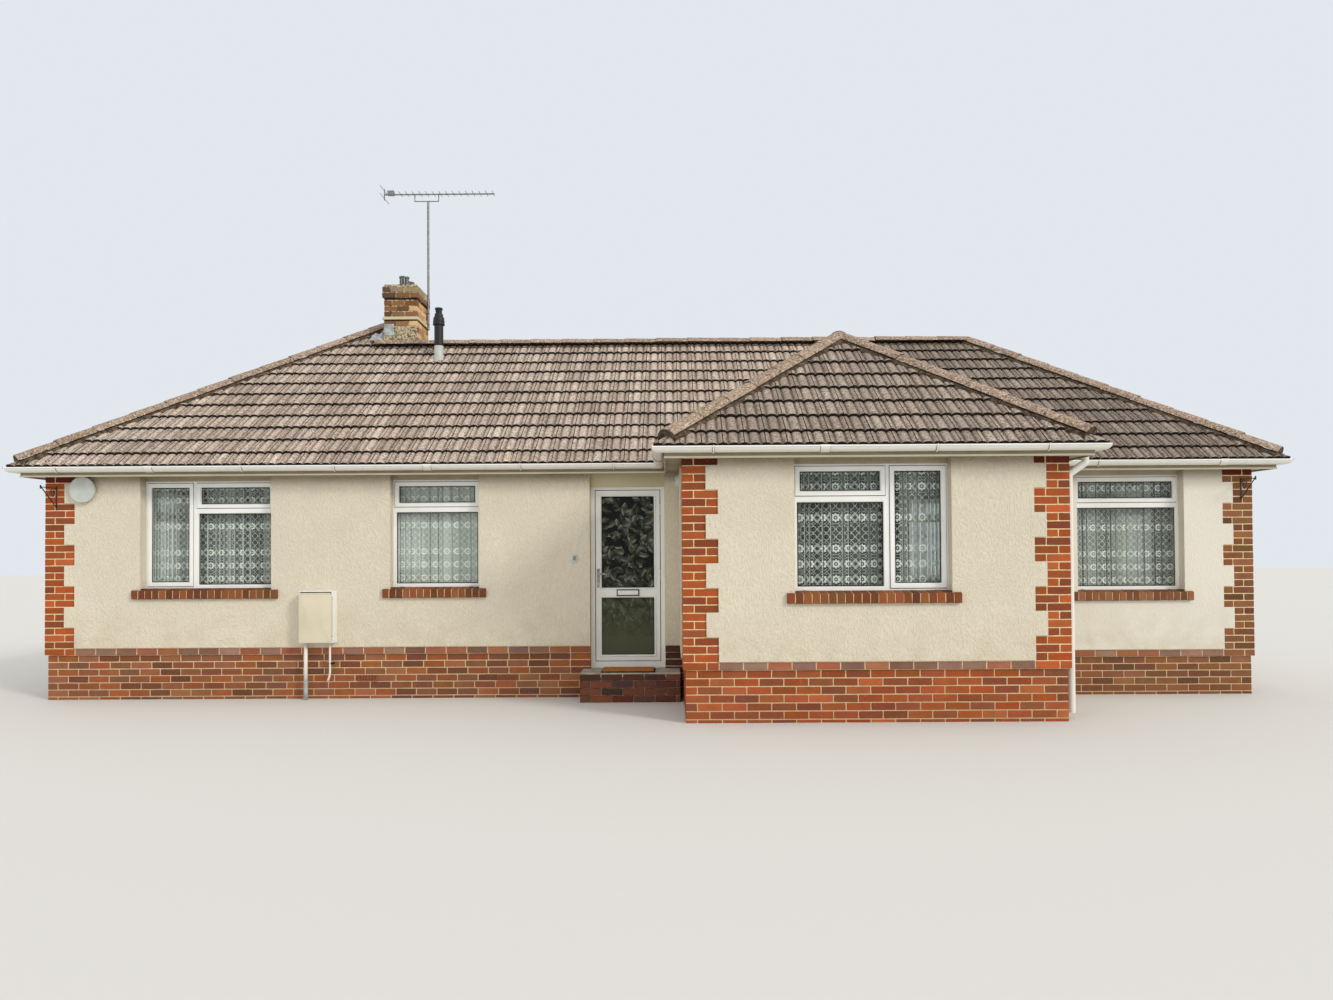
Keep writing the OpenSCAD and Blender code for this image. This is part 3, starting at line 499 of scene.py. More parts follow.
def make_flaunching(s):
    """Weathered mortar mound with yellow-green lichen."""
    color = s.mix(s.patches(34, 5, 0.4, 0.62, 0.7), linear((120, 112, 84)),
                  linear((176, 170, 138)))
    color = s.over(color, s.patches(60, 4, 0.56, 0.64, 0.7), 0.7, (62, 56, 42))
    return s.finish(color, 0.95, normal=s.bump(s.noise(90, 4, 0.7), 0.006, 1.0), specular=0.2)


def make_render(s):
    """Cream roughcast: lumps a few centimetres across under fine grit, dirt near its foot,
    painted shade at its top under the eaves.
    """
    x, y, z = s.axes()
    base = tuple(bpy.context.scene.bungalow_colours.render_colour)
    color = s.mix(s.patches(0.9, 3, 0.3, 0.7), base, tuple(c * 0.93 for c in base))
    # The right range is lighter and was rubbed smoother
    edge, back = WING_X + WING_W + SHIFT[0], MAIN_D + SHIFT[1]
    right = s.times(s.ramp(x, edge + 0.03, edge + 0.13),
                    s.ramp(y, back - 0.25, back - 0.10, 1.0, 0.0))
    rough = s.ramp(right, 0.0, 1.0, 1.0, 0.3)
    color = s.mix(right, color, s.mix(1.0, color, (1.04, 1.09, 1.17), "MULTIPLY"))
    # Trowel strokes: noise drawn out along a slant, bent by a wide swirl
    swirl = s.node("TexNoise", {"Vector": s.place(), "Scale": 1.3, "Detail": 2.0})
    bend = s.node("VectorMath", {0: swirl.outputs["Color"], 3: 0.5}, operation="SCALE")
    bent = s.node("VectorMath", {0: s.place(), 1: bend.outputs[0]}, operation="ADD")
    slant = s.node("Mapping", {"Vector": bent.outputs[0], "Rotation": (0, 0.72, 0.72),
                               "Scale": (1.0, 1.0, 0.5)}).outputs[0]
    strokes = s.noise(56, 3, 0.6, slant)
    color = s.over(color, rough, s.ramp(strokes, 0.3, 0.6, 0.22, 0.0), (178, 162, 130))
    color = s.over(color, rough, s.ramp(strokes, 0.55, 0.72, 0.0, 0.25), (236, 228, 206))
    dirt = s.times(s.ramp(z, 0.55, 1.05, 1.0, 0.0), s.patches(5, 4, 0.38, 0.7))
    color = s.over(color, dirt, 0.3, (176, 156, 120))
    # Painted shade under the eaves: the wall's top is darker, in patches
    eave_painted_shade = s.times(s.ramp(z, 2.34, 2.43), s.ramp(s.noise(3, 4), 0.2, 0.6, 0.75, 1.0))
    color = s.over(color, eave_painted_shade, 0.62, (112, 92, 54))
    height = s.times(rough, s.plus(strokes, s.times(s.noise(48, 3, 0.6), 0.5)))
    return s.finish(color, 0.92, normal=s.bump(height, 0.014, 0.8), specular=0.2)


def make_tile(s):
    """Weathered concrete tile: dense pale lichen specks, dark pits and wider pale patches."""
    tint = s.tint()
    patch = s.ramp(s.noise(1.1, 3), 0.38, 0.66, 0.45, 1.0)
    color = tint
    for grain, band, share, light in (((46, 4, 0.7), (0.50, 0.60), 0.85, (1.85, 1.86, 1.84)),
                                      ((31, 4, 0.75), (0.60, 0.67), 0.8, (2.8, 2.8, 2.6))):
        specks = s.times(s.ramp(s.noise(*grain), *band), s.times(patch, share))
        color = s.mix(specks, color, s.mix(1.0, tint, light, "MULTIPLY"))
    color = s.over(color, s.patches(52, 3, 0.53, 0.61, 0.7), 0.8, (50, 40, 34))
    color = s.over(color, s.patches(9, 4, 0.5, 0.75, 0.6), 0.25, (104, 86, 76))
    return s.finish(color, 0.93, normal=s.bump(s.noise(120, 4, 0.7), 0.005, 0.9), specular=0.15)


def make_ridge(s):
    """Ridge and hip tiles: pinkish brown under yellow-grey lichen."""
    color = s.over(s.tint(), s.patches(44, 5, 0.50, 0.59, 0.75), 0.85, (220, 203, 182))
    color = s.over(color, s.patches(7, 4, 0.52, 0.74, 0.6), 0.22, (150, 140, 100))
    color = s.over(color, s.patches(50, 4, 0.52, 0.61, 0.7), 0.8, (66, 52, 44))
    return s.finish(color, 0.94, normal=s.bump(s.noise(110, 4, 0.7), 0.006, 0.9), specular=0.2)


def make_gutter(s):
    """White gutter plastic with grey streaks of dirt."""
    drawn = s.node("Mapping", {"Vector": s.place(), "Scale": (1, 1, 0.12)}).outputs[0]
    streak = s.ramp(s.noise(14, 4, 0.6, drawn), 0.5, 0.8)
    return s.finish(s.over(linear((228, 227, 218)), streak, 0.2, (176, 172, 156)), 0.32,
                    specular=0.4)


def make_glass(s):
    """Clear double glazing: mostly lets light through, and mirrors at a slant."""
    clear = s.node("BsdfTransparent", {"Color": (0.955, 0.975, 0.96)}).outputs[0]
    gloss = s.node("BsdfGlossy", {"Color": (1, 1, 1), "Roughness": 0.03}).outputs[0]
    share = s.times(s.node("Fresnel", {"IOR": 1.5}).outputs[0], 0.3)
    s.close(s.node("MixShader", {0: share, 1: clear, 2: gloss}))
    return s.material


def make_door_glass(s):
    """Obscure glass, coloured dark as painted shade of the unlit hall behind it, lighter in its
    lower pane, very slightly wavy.
    """
    low = s.ramp(s.axes()[2], MID_Z, MID_Z + 0.25, 1.0, 0.0)
    color = s.mix(low, linear(GLASS_DARK), linear(GLASS_PLAIN))
    return s.finish(color, 0.2, normal=s.bump(s.noise(22, 2), 0.004, 0.5), specular=0.15)


def make_glass_leaf(s):
    """A pressed leaf in the glass: its own shade, with a fine grain along it."""
    grain = s.patches(160, 3, 0.35, 0.7, to_low=0.75, to_high=1.15)
    grey = s.node("CombineXYZ", {0: grain, 1: grain, 2: grain}).outputs[0]
    return s.finish(s.mix(1.0, s.tint(), grey, "MULTIPLY"), 0.35, specular=0.1)


LACE_CELL, LACE_FIRST = 0.147, 0.085


def make_lace(s):
    """Net curtain: bands of eight-petalled rosettes with stepped diamonds between them, and
    two bands of open rings, all joined by a slanting lattice.

    u and v run from -0.5 to 0.5 in a cell, with r and a the distance and angle from its
    middle. Petals: 0.13 < r < 0.262 + 0.04 cos 8a. Eye: r < 0.055. Arcs: r near 0.41.
    Stepped diamonds: 0.5 - |u| + |v| near 0.19, 0.26 and 0.33. Lattice: u + v or u - v near
    a multiple of a half. Rings: two by two to a cell. The tint attribute holds how steep the
    cloth stands in its folds, how dense the net is, and how deep in a fold it lies, where the
    net is thinned as painted shade.
    """
    xyz = s.node("SeparateXYZ", {0: s.node("UVMap", uv_map="UVMap").outputs[0]}).outputs
    steep, net, deep = s.node("SeparateColor", {0: s.tint()}).outputs
    across = s.math("DIVIDE", xyz[0], LACE_CELL)
    row = s.plus(s.math("DIVIDE", xyz[1], LACE_CELL), 0.5 - LACE_FIRST / LACE_CELL)

    def centred(value):
        return s.minus(s.math("FRACT", value), 0.5)

    def length(a, b):
        return s.math("SQRT", s.plus(s.times(a, a), s.times(b, b)))

    def near(value, middle, half, soft=0.012):
        off = s.size(s.minus(value, middle))
        return s.ramp(off, half - soft / 2, half + soft / 2, 1.0, 0.0)

    u, v = centred(across), centred(row)
    flat_u, flat_v = s.size(u), s.size(v)
    r = length(u, v)
    turns = s.math("COSINE", s.times(s.math("ARCTAN2", v, u), 8.0))
    petals = s.plus(0.262, s.times(turns, 0.04))
    flower = s.times(s.ramp(s.minus(petals, r), -0.008, 0.012), s.ramp(r, 0.122, 0.142))
    flower = s.larger(flower, s.ramp(r, 0.045, 0.065, 1.0, 0.0))
    m = s.plus(s.minus(0.5, flat_u), flat_v)
    steps = near(m, 0.19, 0.016)
    for at in (0.26, 0.33):
        steps = s.larger(steps, near(m, at, 0.016))
    slant = s.larger(*(near(s.size(centred(s.times(way, 2.0))), 0.0, 0.035, 0.03)
                       for way in (s.plus(across, row), s.minus(across, row))))
    arcs = s.times(near(r, 0.41, 0.014), s.math("GREATER_THAN", flat_v, flat_u))
    open_field = s.times(s.ramp(r, 0.41, 0.43), s.ramp(m, 0.34, 0.36))
    faint = s.times(s.larger(arcs, s.times(slant, open_field)), 0.7)
    rosettes = s.larger(s.larger(flower, steps), faint)
    r2 = length(centred(s.times(across, 2.0)), centred(s.times(row, 2.0)))
    rings = s.larger(near(r2, 0.39, 0.03, 0.03), s.times(slant, s.ramp(r2, 0.36, 0.38)))
    level = s.math("FLOOR", row)
    ringed = s.larger(near(level, 3.0, 0.5, 0.1), near(level, 5.0, 0.5, 0.1))
    thread = s.plus(s.times(rosettes, s.minus(1.0, ringed)),
                    s.times(s.times(rings, 0.75), ringed))
    solid = s.larger(thread, s.times(steep, 0.8))
    alpha = s.plus(net, s.times(s.minus(0.96, net), solid))
    # Painted shade: the net is thinned deep in each fold, so the folds show darker
    alpha = s.times(alpha, s.minus(1.0, s.times(deep, 0.75)))
    return s.finish(linear((250, 253, 248)), 0.9, specular=0.1, Alpha=alpha)


def make_black_metal(s):
    return s.finish(linear((30, 31, 32)), 0.42, 0.2, s.bump(s.noise(60, 2), 0.001, 0.4))


MAKERS = {"brick": make_brick, "mortar": make_mortar, "flaunching": make_flaunching,
          "render": make_render, "tile": make_tile, "ridge": make_ridge,
          "gutter": make_gutter, "glass": make_glass, "door_glass": make_door_glass,
          "glass_leaf": make_glass_leaf, "lace": make_lace, "black_metal": make_black_metal}
MATERIALS = {}


def material(name):
    """The shared material of that name, made on first use."""
    if name not in MATERIALS:
        s = Shader(name)
        MATERIALS[name] = MAKERS[name](s) if name in MAKERS else two_tone(s, *TWO_TONE[name])
    return MATERIALS[name]


BRICK_COLOURS = {
    "quoin": [(174, 82, 36), (162, 80, 40), (152, 78, 44), (182, 92, 48), (140, 72, 42),
              (168, 80, 34)],
    "plinth": [(150, 88, 54), (134, 80, 54), (142, 92, 66), (160, 90, 52), (124, 80, 60),
               (154, 98, 68), (118, 72, 52)],
    "wing": [(166, 86, 46), (150, 80, 48), (174, 94, 54), (138, 76, 50), (158, 78, 38)],
    "brown": [(134, 86, 54), (122, 80, 54), (144, 96, 66), (110, 72, 50), (138, 90, 56)],
    "band": [(152, 118, 102), (138, 102, 90), (160, 96, 70), (130, 94, 80), (166, 104, 76)],
    "dark": [(92, 62, 52), (78, 52, 44), (104, 68, 54), (86, 60, 52)],
    # Top course under the soffit: dark maroon bricks, their darkness partly painted shade under
    # the eaves
    "top": [(104, 36, 22), (92, 32, 20)],
    "step": [(112, 60, 44), (96, 56, 42), (124, 72, 52)],
    "sill": [(138, 76, 42), (122, 68, 40), (146, 86, 52), (106, 60, 38), (132, 82, 46)],
    "stack": [(140, 98, 60), (122, 84, 52), (154, 112, 72), (106, 76, 50), (136, 102, 68)],
    # The stack's side turned to the sun: paler bricks as painted light
    "stack_side": [(212, 168, 116), (196, 150, 100), (222, 184, 136), (182, 140, 96)],
    "cap": [(116, 80, 56), (130, 92, 64), (100, 70, 52)],
    "rough": [(146, 132, 106), (112, 98, 76), (92, 78, 60), (168, 156, 132)],
}


def brick_colours(n, kind, seed):
    """One colour for each of n bricks, drawn from the kind's own colours."""
    rng = np.random.default_rng(seed)
    base = np.array(BRICK_COLOURS[kind])[rng.integers(0, len(BRICK_COLOURS[kind]), n)]
    base = base * bpy.context.scene.bungalow_colours.brick_tone
    return linear(np.clip(base * rng.uniform(0.92, 1.08, (n, 1))
                          + rng.uniform(-4, 4, (n, 3)), 0, 255))


# Brickwork

PROUD = 0.004


class Bricks:
    """Collects bricks as boxes: centre, half size, direction, normal and colour kind."""

    def __init__(self):
        self.rows = []

    def add(self, line, u0, u1, out0, out1, z0, z1, kind):
        """A brick of a line (corner, direction, normal), u0 to u1 along it, out0 to out1 out.

        What is left of a brick too small to cut is left out."""
        if u1 - u0 < 0.02 or z1 - z0 < 0.01:
            return
        a, d, n = line[:3]
        at = a + (u0 + u1) / 2 * d + (out0 + out1) / 2 * n
        self.rows.append(((*at, (z0 + z1) / 2),
                          ((u1 - u0) / 2, (out1 - out0) / 2, (z1 - z0) / 2), d, n, kind))

    def build(self, name, seed, bevel=0.0035, jitter=0.0012, seeds=None):
        """Makes one piece of them; seeds is the seed of each kind's colours."""
        centres, halves, d, n, kinds = (np.array(column) for column in zip(*self.rows))
        axes = np.zeros((len(kinds), 3, 3))
        axes[:, 0:2, 0], axes[:, 0:2, 1], axes[:, 2, 2] = d, -n, 1
        tint = np.zeros((len(kinds), 3))
        for kind in sorted(set(kinds)):
            hit = kinds == kind
            tint[hit] = brick_colours(int(hit.sum()), kind, seeds[kind] if seeds else seed)
        part = boxes(centres, halves, axes, bevel, jitter, seed)
        return add_piece(name, [part], "brick", tint=tint[part[2]])


def fill_course(bricks, line, a, b, z, e, kind, half_first=False):
    """Lays stretchers from a to b along a wall line, eased to fit a whole number of them."""
    if half_first and b - a > 0.16:
        bricks.add(line, a, a + HALF_FACE, e - DEPTH, e, *z, kind)
        a += HALF
    span = b - a + JOINT
    if span < 0.05:
        return
    count = max(1, round(span / BRICK))
    pitch = span / count
    for k in range(count):
        bricks.add(line, a + k * pitch, a + (k + 1) * pitch - JOINT, e - DEPTH, e, *z, kind)


def lay_wall(bricks, i, quoin, plinth):
    """Plinth, band and quoins of wall line i, with the corner bricks at its start."""
    line = wall_axes(i)
    band_z = PLINTH_H - DROPPED[i] * COURSE
    start, end = TURN[i] > 0, TURN[(i + 1) % WALLS] > 0
    rows_down, rows_up = (math.ceil(h / COURSE) for h in (band_z, SOFFIT_Z - band_z))
    for k in range(-rows_down, rows_up):
        z = (max(band_z + k * COURSE, 0.0),
             min(band_z + (k + 1) * COURSE - JOINT, SOFFIT_Z - 0.004))
        e = PROUD if k >= 0 else PROUD - PLINTH_SET
        long_here = k % 2 == 0
        here, back = (BRICK_FACE, HALF_FACE) if long_here else (HALF_FACE, BRICK_FACE)
        # The top course takes darker bricks, partly as painted shade under the eaves
        kind = plinth if k < 0 else "top" if k == rows_up - 1 else quoin
        if start:
            bricks.add(line, -e, -e + here, e - back, e, *z, kind)
        a = -e + here + JOINT if start else e + 0.004
        b = line[3] + e - back - JOINT if end else line[3] - e - 0.004
        if k >= 1:
            # Quoin: a second brick next to the corner brick where the row is wide
            wide = (k - 1) // 3 % 2 == 0
            if start and (wide or not long_here):
                second = BRICK_FACE if wide and not long_here else HALF_FACE
                bricks.add(line, a, a + second, e - DEPTH, e, *z, kind)
            if end and (wide or long_here):
                second = BRICK_FACE if wide and long_here else HALF_FACE
                bricks.add(line, b - second, b, e - DEPTH, e, *z, kind)
            continue
        parts = [(a, b)]
        if i == 0 and z[1] > STEP_TOP - 0.02:
            parts = [(a, DOOR_X + 0.003), (DOOR_X + DOOR_W - 0.003, b)]
        for part, (p, q) in enumerate(parts):
            by_door = i == 0 and part == 1
            if k < 0:
                fill_course(bricks, line, p, q, z, e, "dark" if by_door else kind,
                            half_first=part == 0 and not start and not long_here)
                continue
            # Band course: quoin brick, then darker bricks, then quoin brick
            edge_a = p + (HALF if long_here else BRICK) if start and part == 0 else p
            last = end and part == len(parts) - 1
            edge_b = q - (BRICK if long_here else HALF) if last else q
            bricks.add(line, p, edge_a - JOINT, e - DEPTH, e, *z, kind)
            bricks.add(line, edge_b + JOINT, q, e - DEPTH, e, *z, kind)
            fill_course(bricks, line, edge_a, edge_b, z, e, "dark" if by_door else "band")


class BUNGALOW_OT_brickwork(bpy.types.Operator):
    """Lays the plinth, band and quoins brick by brick over the mortar of the walls"""
    bl_idname = "bungalow.brickwork"
    bl_label = "Brickwork"

    def execute(self, context):
        groups = {"bricks_main": ([0], "quoin", "plinth"),
                  "bricks_wing": ([1, 2, 3], "quoin", "wing"),
                  "bricks_right": ([4, 5], "brown", "brown"),
                  "bricks_rear": ([6, 7, 8], "brown", "brown"),
                  "bricks_left_end": ([9], "quoin", "plinth")}
        for seed, (name, (walls, quoin, plinth)) in enumerate(groups.items()):
            bricks = Bricks()
            for i in walls:
                lay_wall(bricks, i, quoin, plinth)
            bricks.build(name, seed + 11)
        paint("mortar", "front_wall", "door_pier", "wing_front_wall", "wing_side_walls",
              "right_front_wall", "right_end_wall", "rear_wall", "rear_wing_walls",
              "left_end_wall")
        paint("render", "front_render", "side_and_rear_render")
        paint("smooth_render", "door_head")
        return {"FINISHED"}


# How far a skin stops short of, or goes past, a face that it would share
HAIR = 0.0005


class BUNGALOW_OT_reveals(bpy.types.Operator):
    """Renders the sides and heads of the window openings and of the doorway"""
    bl_idname = "bungalow.reveals"
    bl_label = "Rendered reveals"

    def execute(self, context):
        skin, face, top, parts = 0.004, RENDER_T - HAIR, SOFFIT_Z - 2 * HAIR, []

        def sides(i, u, w, foot):
            return [plate(i, a, b, -REVEAL, face, foot, top)
                    for a, b in ((u - HAIR, u + skin), (u + w - skin, u + w + HAIR))]

        for i, u, w, drop in WINDOWS:
            sill = SILL_Z - drop * COURSE
            parts += sides(i, u, w, sill)
            parts.append(plate(i, u, u + w, -REVEAL - 2 * HAIR, -REVEAL + skin, HEAD_Z + HAIR,
                               top))
            parts.append(plate(i, u, u + w, -REVEAL, face, SOFFIT_Z - 0.005, SOFFIT_Z - HAIR))
            parts += [plate(i, a, a + SILL_PAST, -0.010, face, sill - 0.035, sill + 2 * HAIR)
                      for a in (u - SILL_PAST, u + w)]
        add_piece("window_reveals", parts, "render")
        add_piece("door_reveals", sides(0, DOOR_X, DOOR_W, STEP_TOP + 0.25), "smooth_render")
        return {"FINISHED"}


SILL_BRICK, SILL_JOINT, SILL_FALL = 0.0755, 0.0075, 0.018


def sill_blocks(i, mids, half, inset, foot, jitter):
    """Blocks on edge at the places mids along wall line i: boxes whose tops are sheared so
    that they fall 18 mm from the frame to their front."""
    deep = (SILL_OUT + REVEAL) / 2
    centres = np.stack([mids, np.full_like(mids, SILL_OUT - deep),
                        np.full_like(mids, foot + SILL_H / 2)], axis=1)
    halves = np.array([[half - inset, deep - inset, SILL_H / 2 - inset]] * len(mids))
    coords, faces, owner = boxes(centres, halves, FLIP, 0.004, jitter, 5)
    up = np.clip((coords[:, 2] - foot) / SILL_H, 0, 1)
    coords[:, 2] -= SILL_FALL * up * np.clip((coords[:, 1] + REVEAL) / (2 * deep), 0, 1)
    return on_wall(i, coords), faces, owner


class BUNGALOW_OT_sills(bpy.types.Operator):
    """Lays the brick-on-edge sills with a slope to the front"""
    bl_idname = "bungalow.sills"
    bl_label = "Window sills"

    def execute(self, context):
        bricks, cores, tints, total = [], [], [], 0
        for i, u, w, drop in WINDOWS:
            foot = SILL_Z - drop * COURSE - SILL_H
            span = w + 2 * SILL_PAST
            count = round((span + SILL_JOINT) / SILL_BRICK)
            pitch = (span + SILL_JOINT) / count
            mids = u - SILL_PAST + (np.arange(count) + 0.5) * pitch - SILL_JOINT / 2
            bricks.append(sill_blocks(i, mids, (pitch - SILL_JOINT) / 2, 0, foot, 0.0018))
            kind = "brown" if i == 4 else "sill"
            tints.append(brick_colours(count, kind, 21 + total)[bricks[-1][2]])
            total += count
            cores.append(sill_blocks(i, np.array([u + w / 2]), span / 2, 0.006, foot, 0.0))
        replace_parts(add_piece("sill_bricks", bricks, "brick", tint=np.concatenate(tints)),
                    "window_sills")
        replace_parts(add_piece("sill_mortar", cores, "mortar"), "window_sills")
        return {"FINISHED"}


# Roofs

TILE_PITCH = 0.195
MAIN_RUN = MAIN_D / 2 + EAVE_OUT
REAR_RUN = REAR_W / 2 + EAVE_OUT
WING_RUN = WING_W / 2 + EAVE_OUT
WEST, EAST, FRONT, BACK = -EAVE_OUT, FRONT_W + EAVE_OUT, -EAVE_OUT, MAIN_D + EAVE_OUT
RIDGE_Y = FRONT + MAIN_RUN
REAR_RIDGE_X = WEST + REAR_RUN
MEET_X = REAR_RIDGE_X + REAR_RUN - MAIN_RUN
END_X = EAST - MAIN_RUN
WING_RIDGE_X = WING_X + WING_W / 2
WING_MEET_Y = FRONT + WING_RUN * WING_RISE / MAIN_RISE
WING_FRONT = FRONT - WING_OUT
WING_WEST, WING_EAST = WING_X - EAVE_OUT, WING_X + WING_W + EAVE_OUT
WING_HIP_Y = WING_FRONT + WING_RUN
REAR_END_Y = MAIN_D + REAR_OUT + EAVE_OUT - REAR_RUN
REAR_BACK = REAR_END_Y + REAR_RUN
REAR_EAST = WEST + 2 * REAR_RUN

# Tile profile across one tile: half a roll, a whole roll and half a roll again, so that the
# joint between two tiles runs along the top of a roll
TILE_U = np.array([0.000, 0.004, 0.020, 0.035, 0.046, 0.051, 0.062, 0.078, 0.0975, 0.117,
                   0.133, 0.144, 0.149, 0.160, 0.175, 0.191])
TILE_H = np.array([-0.002, 0.019, 0.019, 0.012, 0.001, 0.001, 0.012, 0.018, 0.020, 0.018,
                   0.012, 0.001, 0.001, 0.012, 0.019, 0.019])
# How light each strip of a tile is: joints and grooves darker with dirt and painted shade,
# flanks turned from the light darker as painted shade, crowns lighter as painted highlights
TILE_SHADE = np.array([0.12, 1.10, 0.94, 0.66, 0.36, 0.80, 1.08, 1.18, 1.14, 1.02, 0.68, 0.36,
                       0.80, 1.08, 1.0])
TILE_COLOURS = np.array([(168, 153, 139), (162, 147, 134), (174, 160, 146), (158, 143, 130),
                         (166, 149, 136), (171, 156, 144)])
# A tile's four rows off the slope, and how the lowest course dips into the gutter
ROW_H = np.array([-0.022, 0.006, -0.007, -0.022])
ROW_DIP = np.array([-0.022, -0.022, -0.010, 0.0])
TILE_PAST, UNDERLAY_H = 0.058, -0.040


def zone_edge(points, v):
    """A zone's edge at v, drawn on in a straight line past its lower end."""
    (v0, u0), (v1, u1) = points[:2]
    return np.interp(v, [q[0] for q in points], [q[1] for q in points]) \
        + np.minimum(v - v0, 0) * (u1 - u0) / (v1 - v0)


def slope_place(eave, heading, rise, u, s, h):
    """Place on a slope: eave + u along it + s up it + h square to it."""
    u, s, h = np.broadcast_arrays(u, s, h)
    c, t = math.cos(math.radians(heading)), math.sin(math.radians(heading))
    run = 1 / math.hypot(1, rise)
    v = s * run - h * rise * run
    z = s * rise * run + h * run
    x = SHIFT[0] + eave[0] + u * c - v * t
    y = SHIFT[1] + eave[1] + u * t + v * c
    return np.stack([x, y, EAVE_Z + z], axis=-1)


def tile_slope(name, node, eave, heading, rise, zones, seed, courses):
    """Lays interlocking tiles on one slope.

    A zone is (v0, v1, left, right, tone): plan distances from the eave between which the
    tiles lie, their left and right edges as lists of (v, u), and how light they are. Each
    tile is a grid of profile points by four rows: under its front edge, over it, half way
    and at its top. Points past the zone's edge are held on it: u = clip(u, left(v),
    right(v)). courses is how far up the slope the second course starts, and how far each
    starts above the last.
    """
    begin, gauge = courses[0] - courses[1], courses[1]
    run = 1 / math.hypot(1, rise)
    rng = np.random.default_rng(seed)
    parts, tints, unders = [], [], []
    u_lo = min(min(p[1] for p in z[2]) for z in zones)
    u_hi = max(max(p[1] for p in z[3]) for z in zones)
    j0, j1 = math.floor(u_lo / TILE_PITCH) - 1, math.ceil(u_hi / TILE_PITCH) + 1
    rows = math.ceil((max(z[1] for z in zones) / run - begin) / gauge)
    size = (rows, j1 - j0)
    lift = rng.uniform(-0.0022, 0.0022, (*size, 2))
    slip = bpy.context.scene.bungalow_sizes.tile_slide
    tone_all = bpy.context.scene.bungalow_colours.tile_tone
    slide = rng.uniform(-slip, slip, size)
    base = TILE_COLOURS[rng.integers(0, len(TILE_COLOURS), size)]
    base = np.clip(base * rng.uniform(0.95, 1.05, (*size, 1)), 0, 255)
    # The strip below a tile's front edge lies in shadow
    shade = np.repeat(TILE_SHADE[:, None], 3, axis=1)
    shade[:, 0] = 0.05
    for v0, v1, left, right, tone in zones:
        k0 = math.floor((v0 / run - begin) / gauge + 1e-6) if v0 else 0
        k1 = math.ceil((v1 / run - begin) / gauge - 1e-6)
        k = np.arange(k0, k1)
        j = np.arange(j0, j1)
        # (row of tiles, tile, profile point, row of the grid)
        s = begin + np.stack([k * gauge, k * gauge, (k + 0.5) * gauge, (k + 1) * gauge], -1)
        s = s[:, None, None, :] + np.array([1, 1, 0, 0]) * slide[k0:k1, :, None, None]
        s = np.clip(s, v0 / run - 0.01 if v0 else -TILE_PAST, v1 / run)
        u = (j[:, None] * TILE_PITCH + TILE_U)[None, :, :, None]
        u = np.clip(u, zone_edge(left, s * run), zone_edge(right, s * run))
        across = u - (j * TILE_PITCH)[None, :, None, None]
        tip = lift[k0:k1, :, None, :]
        lifted = tip[..., :1] + (tip[..., 1:] - tip[..., :1]) * (across / TILE_PITCH)
        h = np.interp(across, TILE_U, TILE_H) + lifted + ROW_H
        if not v0:
            h[0] += ROW_DIP
        coords = slope_place(eave, heading, rise, u, s, h)
        n, m, p, r = coords.shape[:4]
        one = turned_round(grid_faces(p, r))
        faces = (one[None] + (np.arange(n * m) * p * r)[:, None, None]).reshape(-1, 4)
        keep = wide_enough(coords.reshape(-1, 3), faces, least=2e-6)
        colours = linear(base[k0:k1].reshape(-1, 3) * tone * tone_all)
        colours = np.repeat(colours, len(one), axis=0) * np.tile(shade.ravel(), n * m)[:, None]
        tints.append(colours[keep])
        parts.append((coords, [faces[keep]]))
        # A plain sheet under the tiles, one strip for each zone
        vs = np.array(sorted({v0, v1, *[q[0] for q in left + right if v0 < q[0] < v1]}))
        edges = np.stack([zone_edge(left, vs), zone_edge(right, vs)], -1)
        unders.append((slope_place(eave, heading, rise, edges, vs[:, None] / run, UNDERLAY_H),
                       [grid_faces(len(vs), 2)]))
    coords, faces = join(parts)
    used, index = np.unique(np.concatenate([f.ravel() for f in faces]), return_inverse=True)
    tiles = add_piece(name, [(coords[used], [index.reshape(-1, 4)])], "tile",
                      tint=np.concatenate(tints))
    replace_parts(tiles, node)
    add_piece(name + "_underlay", unders, "underlay")


